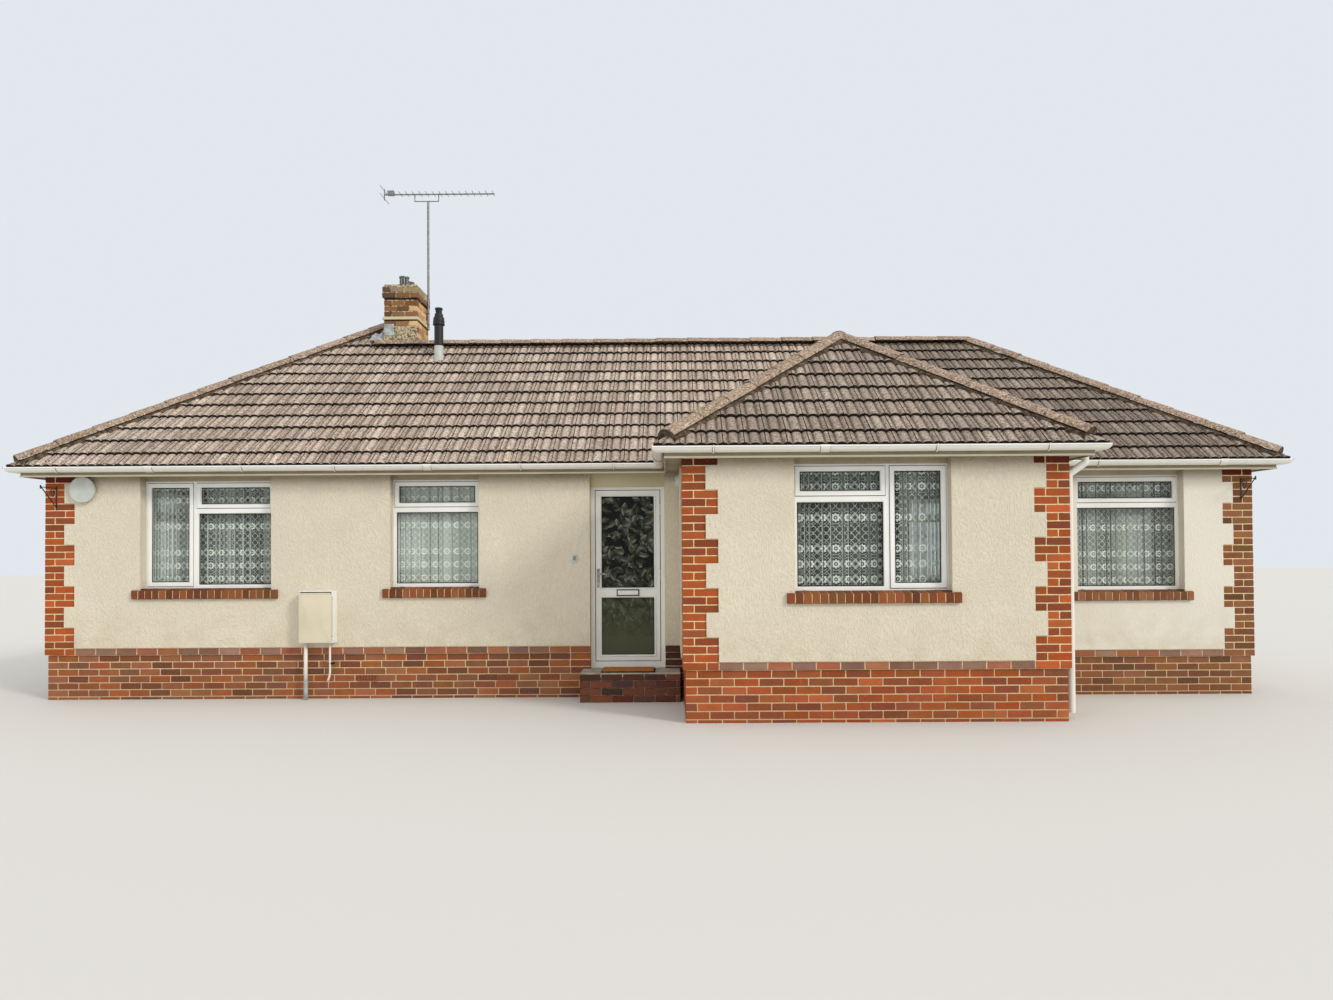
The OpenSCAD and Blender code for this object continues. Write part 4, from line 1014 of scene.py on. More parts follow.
class BUNGALOW_OT_tiles(bpy.types.Operator):
    """Lays the interlocking tiles on every slope"""
    bl_idname = "bungalow.tiles"
    bl_label = "Roof tiles"

    def execute(self, context):
        w, deep, side = EAST - WEST, REAR_BACK - FRONT, REAR_BACK - BACK
        up, ridge = WING_MEET_Y - FRONT, WING_RIDGE_X - WEST

        def rise_in(run, first=0, turn=1):
            """An edge that goes in by 45 degrees from first, up to the ridge at run."""
            return [(0, first), (run, first + turn * run)]

        hip_main, hip_rear, hip_wing = map(rise_in, (MAIN_RUN, REAR_RUN, WING_RUN))
        slopes = [
            ("tiles_main_front", "main_roof_front", (WEST, FRONT), 0, [
                (0, MAIN_RUN, hip_main,
                 [(0, WING_WEST - WEST), (up, ridge), (MAIN_RUN, ridge)], 1.04),
                (0, MAIN_RUN, [(0, WING_EAST - WEST), (up, ridge), (MAIN_RUN, ridge)],
                 rise_in(MAIN_RUN, w, -1), 0.79),
                (MAIN_RUN, REAR_RUN, [(MAIN_RUN, MAIN_RUN), (REAR_RUN, REAR_RUN)],
                 [(MAIN_RUN, MEET_X - WEST), (REAR_RUN, REAR_RUN)], 1.04)]),
            ("tiles_main_rear", "main_roof_rear", (EAST, BACK), 180, [
                (0, MAIN_RUN, hip_main, [(0, EAST - REAR_EAST), (MAIN_RUN, EAST - MEET_X)],
                 1.0)]),
            ("tiles_right_end", "right_hip_slope", (EAST, FRONT), 90, [
                (0, MAIN_RUN, hip_main, rise_in(MAIN_RUN, 2 * MAIN_RUN, -1), 0.9)]),
            ("tiles_left", "left_roof_slope", (WEST, REAR_BACK), -90, [
                (0, REAR_RUN, hip_rear, rise_in(REAR_RUN, deep, -1), 1.0)]),
            ("tiles_rear_right", "rear_wing_roof", (REAR_EAST, BACK), 90, [
                (0, MAIN_RUN, rise_in(MAIN_RUN, 0, -1), rise_in(MAIN_RUN, side, -1), 1.0),
                (MAIN_RUN, REAR_RUN,
                 [(MAIN_RUN, -MAIN_RUN), (REAR_RUN, REAR_RUN - 2 * MAIN_RUN)],
                 [(MAIN_RUN, side - MAIN_RUN), (REAR_RUN, side - REAR_RUN)], 1.0)]),
            ("tiles_rear_end", "rear_wing_roof", (REAR_EAST, REAR_BACK), 180, [
                (0, REAR_RUN, hip_rear, rise_in(REAR_RUN, 2 * REAR_RUN, -1), 1.0)]),
            ("tiles_wing_front", "wing_roof", (WING_WEST, WING_FRONT), 0, [
                (0, WING_RUN, hip_wing, rise_in(WING_RUN, 2 * WING_RUN, -1), 0.9)]),
            ("tiles_wing_left", "wing_roof", (WING_WEST, FRONT), -90, [
                (0, WING_RUN, [(0, 0), (WING_RUN, -up)], rise_in(WING_RUN, WING_OUT, -1),
                 0.95)]),
            ("tiles_wing_right", "wing_roof", (WING_EAST, WING_FRONT), 90, [
                (0, WING_RUN, hip_wing, [(0, WING_OUT), (WING_RUN, WING_OUT + up)], 0.9)])]
        for seed, (name, node, eave, heading, zones) in enumerate(slopes, start=1):
            rise, courses = (WING_RISE, (0.154, 0.3146)) if node == "wing_roof" else \
                (MAIN_RISE, (0.165, 0.2946))
            tile_slope(name, node, eave, heading, rise, zones, seed, courses)
        return {"FINISHED"}


def roof_place(x, y, rise):
    return np.array([x + SHIFT[0], y + SHIFT[1], EAVE_Z + rise])


CAP_RADIUS, CAP_SINK, CAP_ANGLE, CAP_LENGTH = 0.122, 0.054, math.radians(64), 0.42
CAP_COLOURS = np.array([(158, 134, 117), (150, 126, 110), (164, 142, 124), (146, 124, 104)])


def cap_line(a, b, fall, seed, caps, beds, tints, hip):
    """Part-round tiles laid end to end from a to b, with a lumpy mortar bed on both sides.

    Section of a cap: (r sin w, r cos w - sink) for w from -64 to 64 degrees; each cap is a
    little wider at its lower end and lies over the next one down. A hip's bed is twice as
    thick as a ridge's, and closes its lowest cap.
    """
    rng = np.random.default_rng(seed)
    reach = np.linalg.norm(b - a)
    t = (b - a) / reach
    side = np.cross(t, (0, 0, 1))
    side /= np.linalg.norm(side)
    up = np.cross(side, t)
    count = max(1, round(reach / CAP_LENGTH))
    step = reach / count
    w = np.linspace(-CAP_ANGLE, CAP_ANGLE, 15)
    circle = np.sin(w)[None, :, None] * side + np.cos(w)[None, :, None] * up
    for k in range(count):
        nudge, lift = rng.uniform(-0.004, 0.004, 2)
        s0, s1 = k * step + 0.003, (k + 1) * step + 0.006
        along = np.array([s0 + 0.012, s0, s0 + 0.006, s0 + 0.03, (s0 + s1) / 2, s1])
        r = CAP_RADIUS + np.array([-0.016, -0.003, 0.003, 0.003, 0.0, -0.006]) + lift * 0.4
        lumps = rng.normal(0, 0.0007, (6, 15, 1))
        centre = a + along[:, None] * t + (lift * 0.5 - CAP_SINK) * up + nudge * side
        caps.append((centre[:, None] + (r[:, None, None] + lumps) * circle,
                     [grid_faces(6, 15)]))
        colour = CAP_COLOURS[rng.integers(0, len(CAP_COLOURS))] * rng.uniform(0.95, 1.05)
        # Painted shade at each cap's lower end: its turned-in lip and the edge over the next
        # cap down
        shade = np.repeat([0.15, 0.6, 1.0, 1.0, 1.0], 14)
        tints.append(linear(colour) * shade[:, None])
    # Mortar on each side, from under the caps out to the tiles
    bed = 1.0 if hip else 0.5
    n = max(8, int(reach / 0.02))
    s = np.linspace(0.0, reach, n)
    edge = CAP_RADIUS * math.sin(CAP_ANGLE)
    for sign in (-1, 1):
        lump = rng.normal(0, 1, (n, 3))
        lump = (lump + np.roll(lump, 1, 0) + np.roll(lump, -1, 0)) / 3
        lump = np.concatenate([lump[:, :1] * 0, lump], axis=1) * bed
        out = edge + np.array([-0.025, 0.0, 0.007, 0.014]) * bed \
            + lump * np.array([0, 0.002, 0.004, 0.006])
        height = np.array([0.030, 0.030, 0.018, -0.006]) * bed + lump * 0.004 - out * fall
        coords = (a + s[:, None, None] * t + sign * out[..., None] * side
                  + height[..., None] * up)
        beds.append((coords, [grid_faces(n, 4)[:, ::sign]]))
    if hip:
        # Mortar that closes the lowest cap: a fan under its arch, painted dark as shade
        foot = a + 0.010 * t
        arch = foot - CAP_SINK * up + (CAP_RADIUS - 0.008) * circle[0]
        low = foot - edge * fall * up
        fan = np.concatenate([arch, [low + edge * side, low - edge * side]])
        beds.append((fan, [np.arange(len(fan))[None, ::-1]]))


class BUNGALOW_OT_ridges(bpy.types.Operator):
    """Lays the ridge and hip tiles in mortar"""
    bl_idname = "bungalow.ridges"
    bl_label = "Ridge and hip tiles"

    def execute(self, context):
        caps, beds, tints = [], [], []
        top, rear_top, wing_top = (MAIN_RUN * MAIN_RISE, REAR_RUN * MAIN_RISE,
                                   WING_RUN * WING_RISE)
        lines = [
            (roof_place(STACK[0] - 0.10, RIDGE_Y, top), roof_place(END_X, RIDGE_Y, top),
             MAIN_RISE),
            (roof_place(REAR_RIDGE_X, FRONT + REAR_RUN, rear_top),
             roof_place(REAR_RIDGE_X, REAR_END_Y, rear_top), MAIN_RISE),
            (roof_place(WING_RIDGE_X, WING_HIP_Y, wing_top),
             roof_place(WING_RIDGE_X, WING_MEET_Y + 0.05, wing_top), WING_RISE)]
        ridges = len(lines)
        for x, y, dx, dy, run, rise in ((WEST, FRONT, 1, 1, REAR_RUN, MAIN_RISE),
                                        (EAST, FRONT, -1, 1, MAIN_RUN, MAIN_RISE),
                                        (EAST, BACK, -1, -1, MAIN_RUN, MAIN_RISE),
                                        (WEST, REAR_BACK, 1, -1, REAR_RUN, MAIN_RISE),
                                        (REAR_EAST, REAR_BACK, -1, -1, REAR_RUN, MAIN_RISE),
                                        (WING_WEST, WING_FRONT, 1, 1, WING_RUN, WING_RISE),
                                        (WING_EAST, WING_FRONT, -1, 1, WING_RUN, WING_RISE)):
            begin = 0.065 if run == WING_RUN else 0.02
            lines.append((roof_place(x + dx * begin, y + dy * begin, begin * rise),
                          roof_place(x + dx * run, y + dy * run, run * rise),
                          rise / math.sqrt(2 + rise ** 2)))
        for seed, (a, b, fall) in enumerate(lines):
            cap_line(a, b, fall, seed + 40, caps, beds, tints, seed >= ridges)
        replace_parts(add_piece("ridge_and_hip_tiles", caps, "ridge",
                              tint=np.concatenate(tints)), "ridge_tiles")
        add_piece("ridge_mortar", beds, "bedding")
        return {"FINISHED"}


BRACKET_GAP = 1.08


class BUNGALOW_OT_eaves(bpy.types.Operator):
    """Paints the eaves boards and gutters and adds the gutter brackets and unions"""
    bl_idname = "bungalow.eaves"
    bl_label = "Eaves and gutters"

    def execute(self, context):
        paint("eaves_dirt_and_painted_shade", "fascia_boards", "soffit_boards")
        paint("gutter", "gutters", "downpipes")
        parts, painted_highlight_rims, painted_light_strips = [], [], []
        w = np.radians(np.concatenate([[172], np.linspace(180, 360, 17), [368]]))
        for i in range(WALLS):
            length, turn, next_turn = wall_axes(i)[3], TURN[i], TURN[(i + 1) % WALLS]
            start, end = -turn * GUTTER_AXIS, length + next_turn * GUTTER_AXIS
            count = max(1, round((end - start) / BRACKET_GAP))
            for k in range(count):
                u = start + (k + 0.5) * (end - start) / count
                # Every third one is a union of two lengths
                half, proud = (0.0475, 0.005) if k % 3 == 1 else (0.012, 0.009)
                us = u + np.array([-half, 0.005 - half, half - 0.005, half])[:, None]
                r = GUTTER_R + np.array([0.0, proud, proud, 0.0])[:, None]
                local = np.stack(np.broadcast_arrays(
                    us, GUTTER_AXIS + r * np.cos(w),
                    GUTTER_Z + np.minimum(r * np.sin(w), 0.004)), axis=-1)
                parts.append((on_wall(i, local), [turned_round(grid_faces(4, len(w)))]))
            # Painted highlights: a whiter rim along the gutter's top, and a lighter strip
            # on the fascia's lower edge as painted light
            for kept, out, half, z0, z1 in (
                    (painted_highlight_rims, GUTTER_AXIS + GUTTER_R + 0.001, 0.004, GUTTER_Z - 0.012,
                     GUTTER_Z + 0.001),
                    (painted_light_strips, FASCIA_OUT + 0.0025, 0.003, SOFFIT_Z - 0.0145, SOFFIT_Z + 0.004)):
                grow = out + half
                kept.append(plate(i, -turn * grow, length + next_turn * grow, out - half,
                                  out + half, z0, z1))
        # The sides of each bracket take the darker eaves colour as painted shade
        edges = np.tile(np.repeat([1, 0, 1], len(w) - 1), len(parts))
        add_piece("gutter_brackets", parts, ["gutter", "eaves_dirt_and_painted_shade"], slots=edges)
        add_piece("gutter_rim_painted_highlight", painted_highlight_rims, "white")
        add_piece("fascia_edge_painted_light", painted_light_strips, "meter")
        return {"FINISHED"}


# Windows and door

def lights_of(window):
    """The lights of a window as (u, z, width, height, opens), from its lower left corner."""
    _, _, w, drop = window
    width = w - 2 * SEAT
    height = HEAD_Z - (SILL_Z - drop * COURSE) - 2 * SEAT
    low = height - VENT_H
    if window == FRONT_WINDOWS[2]:
        return [(width - TALL_RIGHT, 0, TALL_RIGHT, height, 1),
                (0, low, width - TALL_RIGHT, VENT_H, 1), (0, 0, width - TALL_RIGHT, low, 0)]
    if w > 1.3:
        return [(0, 0, TALL_LEFT, height, 1),
                (TALL_LEFT, low, width - TALL_LEFT, VENT_H, 1),
                (TALL_LEFT, 0, width - TALL_LEFT, low, 0)]
    return [(0, low, width, VENT_H, 1), (0, 0, width, low, 0)]


FRAME_FACE = [(0.0, -0.065), (0.0, -0.0015), (0.0015, 0.0), (0.0330, 0.0), (0.0350, -0.0020),
              (0.0400, -0.0120), (0.0420, -0.0130), (0.0420, -0.0400)]
SASH_FACE = [(0.0, -0.065), (0.0, -0.0015), (0.0015, 0.0), (0.0160, 0.0), (0.0164, -0.009),
             (0.0214, -0.009), (0.0218, 0.0090), (0.0240, 0.0120), (0.0580, 0.0120),
             (0.0610, 0.0100), (0.0690, -0.0060), (0.0710, -0.0070), (0.0710, -0.0400)]


class BUNGALOW_OT_windows(bpy.types.Operator):
    """Builds the window frames and sashes from their plastic profiles, with dark gaskets"""
    bl_idname = "bungalow.windows"
    bl_label = "Windows"

    def execute(self, context):
        frames, gaskets = [], []
        for window in WINDOWS:
            i, u, w, drop = window
            z = SILL_Z - drop * COURSE
            for lu, lz, lw, lh, opens in lights_of(window):
                box = (u + SEAT + lu, z + SEAT + lz, u + SEAT + lu + lw, z + SEAT + lz + lh)
                profile = np.array(SASH_FACE if opens else FRAME_FACE) - [0, REVEAL]
                frames.append(ring(i, box, profile))
                edge, out = profile[-1, 0], profile[-2, 1]
                gaskets.append(ring(i, box, [(edge - 0.004, out + 0.0014), (edge, out + 0.001),
                                             (edge + 0.007, out - 0.004)]))
                # Painted shade: a dark strip deep in the gap round the opening sash
                if opens:
                    gaskets.append(ring(i, box, [(0.0160, -REVEAL - 0.005),
                                                 (0.0218, -REVEAL - 0.005)]))
            # Drain caps low on the frame
            frames += [wall_box(i, (u + at, 0.004 - REVEAL, z + 0.012), (0.016, 0.005, 0.006),
                                0.002) for at in (0.11, w - 0.11)]
        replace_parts(add_piece("window_profiles", frames, "white"), "window_frames")
        add_piece("window_gaskets", gaskets, "gasket")
        paint("glass", "window_glass")
        return {"FINISHED"}


def hang(x, rng, pitch):
    """Depth of gathered cloth at x, with its steepness and a mask deep in each fold for painted
    shade: slow waves less narrow folds d exp(-((x - c) / w)^2) at places c whose spacing
    wanders round the pitch."""
    y = 0.0035 * np.sin(x * 31 + rng.uniform(0, 6)) + 0.003 * np.sin(x * 77)
    c = rng.uniform(0.01, 0.05)
    inner = np.zeros_like(x)
    while c < x[-1]:
        wide, deep = rng.uniform(0.0045, 0.009), rng.uniform(0.010, 0.024)
        bell = np.exp(-((x - c) / wide) ** 2)
        y -= deep * bell
        inner = np.maximum(inner, np.exp(-((x - c - 0.8 * wide) / (0.7 * wide)) ** 2))
        c += pitch * rng.uniform(0.55, 1.75)
    return y, np.clip(np.abs(np.gradient(y, x)) * 0.35, 0, 1), inner


# How dense the net of each window is, and how much denser strips of it are that hang double
NETS = [0.06, 0.44, 0.02, 0.16] + [0.7] * len(PLAIN_WINDOWS)
STRIPS = [0.0, 0.0, 0.02, 0.06, 0.15]
NET_ROWS, NET_COLS, NET_GAP = 8, 800, 0.012


class BUNGALOW_OT_curtains(bpy.types.Operator):
    """Hangs the gathered net curtains behind the windows"""
    bl_idname = "bungalow.curtains"
    bl_label = "Net curtains"

    def execute(self, context):
        pitch = context.scene.bungalow_sizes.fold_pitch
        for k, (i, u, w, drop) in enumerate(WINDOWS):
            rng = np.random.default_rng(70 + k)
            bottom, top = SILL_Z - drop * COURSE + 0.018, HEAD_Z - 0.003
            x = np.linspace(0, w - 2 * NET_GAP, NET_COLS)
            y, steep, inner = hang(x, rng, pitch)
            t = np.linspace(0, 1, NET_ROWS)[:, None]
            depth = np.clip(y * (0.8 + 0.2 * t) + 0.005, -0.020, 0.020)
            local = np.stack(np.broadcast_arrays(
                u + NET_GAP + x, depth - (REVEAL + FRAME_D + 0.047),
                bottom + t * (top - bottom)), -1)
            arc = np.concatenate([[0], np.cumsum(np.hypot(np.diff(x), np.diff(y)))])
            uv = np.stack(np.broadcast_arrays(arc, t * (top - bottom)), axis=-1)
            edges = np.cumsum(rng.uniform(0.05, 0.15, 40))
            strip = rng.choice(STRIPS, 41)[np.searchsorted(edges, x)]
            cloth = np.stack([steep, np.clip(NETS[k] + strip, 0, 0.8), inner], axis=-1)[:-1]
            sheet = add_piece(f"net_curtain_{k + 1}",
                              [(on_wall(i, local), [grid_faces(NET_ROWS, NET_COLS)])], "lace",
                              smooth=True, tint=np.tile(cloth, (NET_ROWS - 1, 1)),
                              uv=uv.reshape(-1, 2))
            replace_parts(sheet, "net_curtains")
        return {"FINISHED"}


LEAF_X, LEAF_W = DOOR_X + 0.058, DOOR_W - 0.116
LEAF_Z, LEAF_H = 0.390, DOOR_HEAD - 0.430
LEAF_OUT = -0.105
MID_Z, MID_H, STILE = LEAF_Z + 0.700, 0.108, 0.064
GLASS_DARK, GLASS_PLAIN = (12, 14, 10), (80, 84, 62)
GLASS_LEAVES = np.array([(118, 122, 110), (88, 94, 74), (132, 136, 124), (72, 78, 60)])


def glass_leaf(rng, box, out, fade, lift):
    """One leaf: half width = w sin(pi t)^0.8 (1.2 - 0.5 t) along its length t, folded on its
    rib, held inside the pane. It runs from dark at its foot to light at its tip with a dark
    edge, and one half of it is painted lit and the other in painted shade; fade is how faint
    it gets towards the plain glass."""
    u0, z0, u1, z1 = box
    at = rng.uniform(u0, u1), rng.uniform(z0, z1)
    strength = np.clip((at[1] - fade[0]) / (fade[1] - fade[0]), 0, 1)
    turn = math.radians(rng.choice(np.arange(0, 360, 45)) + rng.normal(0, 20))
    length, wide = rng.uniform(0.090, 0.125), rng.uniform(0.026, 0.040)
    t = np.linspace(0, 1, 9)
    half = wide * np.sin(np.pi * t) ** 0.8 * (1.2 - 0.5 * t)
    across = np.array([-1.0, -0.86, 0.0, 0.86, 1.0])
    x = half[:, None] * across + (rng.uniform(-0.010, 0.010) * np.sin(np.pi * t))[:, None]
    y = (t * length - length / 2)[:, None]
    c, q = math.cos(turn), math.sin(turn)
    lift = lift + np.array([0.0, 0.0002, 0.0004, 0.0002, 0.0])
    place = np.stack(np.broadcast_arrays(
        np.clip(at[0] + x * c - y * q, u0 + 0.007, u1 - 0.007), out + lift,
        np.clip(at[1] + x * q + y * c, z0 + 0.007, z1 - 0.007)), axis=-1)
    faces = grid_faces(9, 5)
    keep = wide_enough(place.reshape(-1, 3), faces, least=4e-7)
    # Painted light and shade: one half of the leaf lit, the other in shade, as if folded on its
    # rib
    side = rng.permutation([0.40, 1.0])
    shade = (0.25 + 1.15 * (t[1:] + t[:-1]) / 2)[:, None] * np.array([0.12, *side, 0.12])
    tint = linear(GLASS_LEAVES[rng.integers(0, len(GLASS_LEAVES))]) * shade.reshape(-1, 1)
    return ((on_wall(0, place), [faces[keep]]),
            (tint * strength + linear(GLASS_PLAIN) * (1 - strength))[keep])


class BUNGALOW_OT_door(bpy.types.Operator):
    """Finishes the front door: beads, gaskets, patterned glass, letter plate, step and mat"""
    bl_idname = "bungalow.door"
    bl_label = "Front door"

    def execute(self, context):
        paint("white", "door_frame", "front_door")
        paint("door_glass", "door_glass")
        paint("steel", "door_furniture")
        paint("concrete", "doorstep")
        left, right = LEAF_X + STILE, LEAF_X + LEAF_W - STILE
        lower = (left, LEAF_Z + STILE, right, MID_Z)
        upper = (left, MID_Z + MID_H, right, LEAF_Z + LEAF_H - STILE)
        bead = np.array([(-0.020, 0.0005), (-0.018, 0.005), (-0.008, 0.007), (0.001, -0.002),
                         (0.002, -0.018)]) + [0, LEAF_OUT]
        gasket = np.array([(0.001, -0.003), (0.008, -0.015)]) + [0, LEAF_OUT]
        add_piece("door_beads", [ring(0, box, bead) for box in (lower, upper)], "white",
                  body="door_leaf")
        add_piece("door_gaskets", [ring(0, box, gasket) for box in (lower, upper)], "gasket",
                  body="door_leaf")
        rng = np.random.default_rng(81)
        face = RING[0][1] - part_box("door_glass")[0][1]
        leaves = []
        for box, count, fade in ((upper, context.scene.bungalow_sizes.leaf_count, (0, 1)),
                                 ((left, LEAF_Z + STILE + 0.20, right, MID_Z), 80,
                                  (MID_Z - 0.42, MID_Z + 0.12))):
            leaves += [glass_leaf(rng, box, face, fade, 0.0004 + 0.0024 * k / count)
                       for k in range(count)]
        parts, tints = zip(*leaves)
        add_piece("door_glass_leaves", parts, "glass_leaf", body="door_leaf",
                  tint=np.concatenate(tints))
        # Letter plate: a white flap in a dark surround
        middle, foot, top = LEAF_X + LEAF_W / 2, MID_Z + 0.018, MID_Z + 0.090
        surround = np.array([(-0.001, 0.009), (0.0, 0.0125), (0.010, 0.0125),
                             (0.011, 0.010)]) + [0, LEAF_OUT]
        add_piece("letter_plate_edge",
                  [ring(0, (middle - 0.125, foot, middle + 0.125, top), surround)],
                  "black_metal", body="door_leaf")
        add_piece("letter_flap", [wall_box(0, (middle, LEAF_OUT + 0.0105, (foot + top) / 2),
                                           (0.113, 0.003, 0.024))], "white", body="door_leaf")
        # Bricks round the step's base
        bricks, line = Bricks(), wall_axes(0)
        low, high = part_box("doorstep")
        u0, u1, out = low[0] - RING[0][0], high[0] - RING[0][0], RING[0][1] - low[1]
        for k in range(4):
            z1 = STEP_TOP - 0.014 - k * COURSE
            z0 = max(z1 - COURSE + JOINT, 0.002)
            for m in range(9):
                a = u0 - 0.003 + m * BRICK - HALF * (k % 2)
                bricks.add(line, max(a, u0 - 0.003), min(a + BRICK_FACE, u1 - 0.001),
                           out - 0.035, out + 0.003, z0, z1,
                           "dark" if (m + k) % 3 == 0 else "step")
            for m in range(2):
                o = out - 0.12 - m * 0.17 - 0.06 * (k % 2)
                bricks.add(line, u0 - 0.003, u0 + 0.025, o - 0.078, o + 0.078, z0, z1, "step")
        bricks.build("step_bricks", 61)
        # Coir mat on the step, and a blank plate beside the door
        for name, look, at, half, bevel in (
                ("door_mat", "mat", (DOOR_X + 0.431, 0.17, STEP_TOP + 0.014),
                 (0.275, 0.150, 0.011), 0.005),
                ("door_mat_edge", "gasket", (DOOR_X + 0.431, 0.17, STEP_TOP + 0.0065),
                 (0.289, 0.164, 0.006), 0.002),
                ("door_plate", "pale_plastic", (DOOR_X - 0.165, RENDER_T + 0.004, 1.53),
                 (0.032, 0.005, 0.042), 0.002),
                ("door_plate_middle", "dull_metal", (DOOR_X - 0.165, RENDER_T + 0.009, 1.53),
                 (0.015, 0.002, 0.024), 0.001)):
            add_piece(name, [wall_box(0, at, half, bevel)], look)
        return {"FINISHED"}


# Turned profiles (radius, height): a pot's collar and cap, and the flue above the ground
POT_COLLAR = [(0.086, -0.01), (0.086, 0.006), (0.072, 0.020), (0.064, 0.028), (0.050, 0.030)]
POT_CAP = [(0.050, 0.132), (0.066, 0.133), (0.072, 0.140), (0.070, 0.152), (0.040, 0.161),
           (0.001, 0.164)]
FLUE_SLEEVE = [(0.064, 4.10), (0.061, 4.16), (0.059, 4.30), (0.0585, 4.325)]
FLUE = [(0.055, 4.12), (0.055, 4.33), (0.062, 4.331), (0.062, 4.341), (0.0585, 4.343),
        (0.0585, 4.598), (0.074, 4.599), (0.0785, 4.604), (0.0785, 4.613), (0.074, 4.616),
        (0.074, 4.640), (0.077, 4.643), (0.077, 4.651), (0.072, 4.655), (0.071, 4.690),
        (0.066, 4.704), (0.056, 4.712), (0.055, 4.738), (0.050, 4.752), (0.040, 4.760),
        (0.040, 4.772), (0.044, 4.775), (0.044, 4.783), (0.040, 4.786), (0.040, 4.802),
        (0.051, 4.804), (0.052, 4.818), (0.047, 4.828), (0.001, 4.829)]
POT_BARS = 10


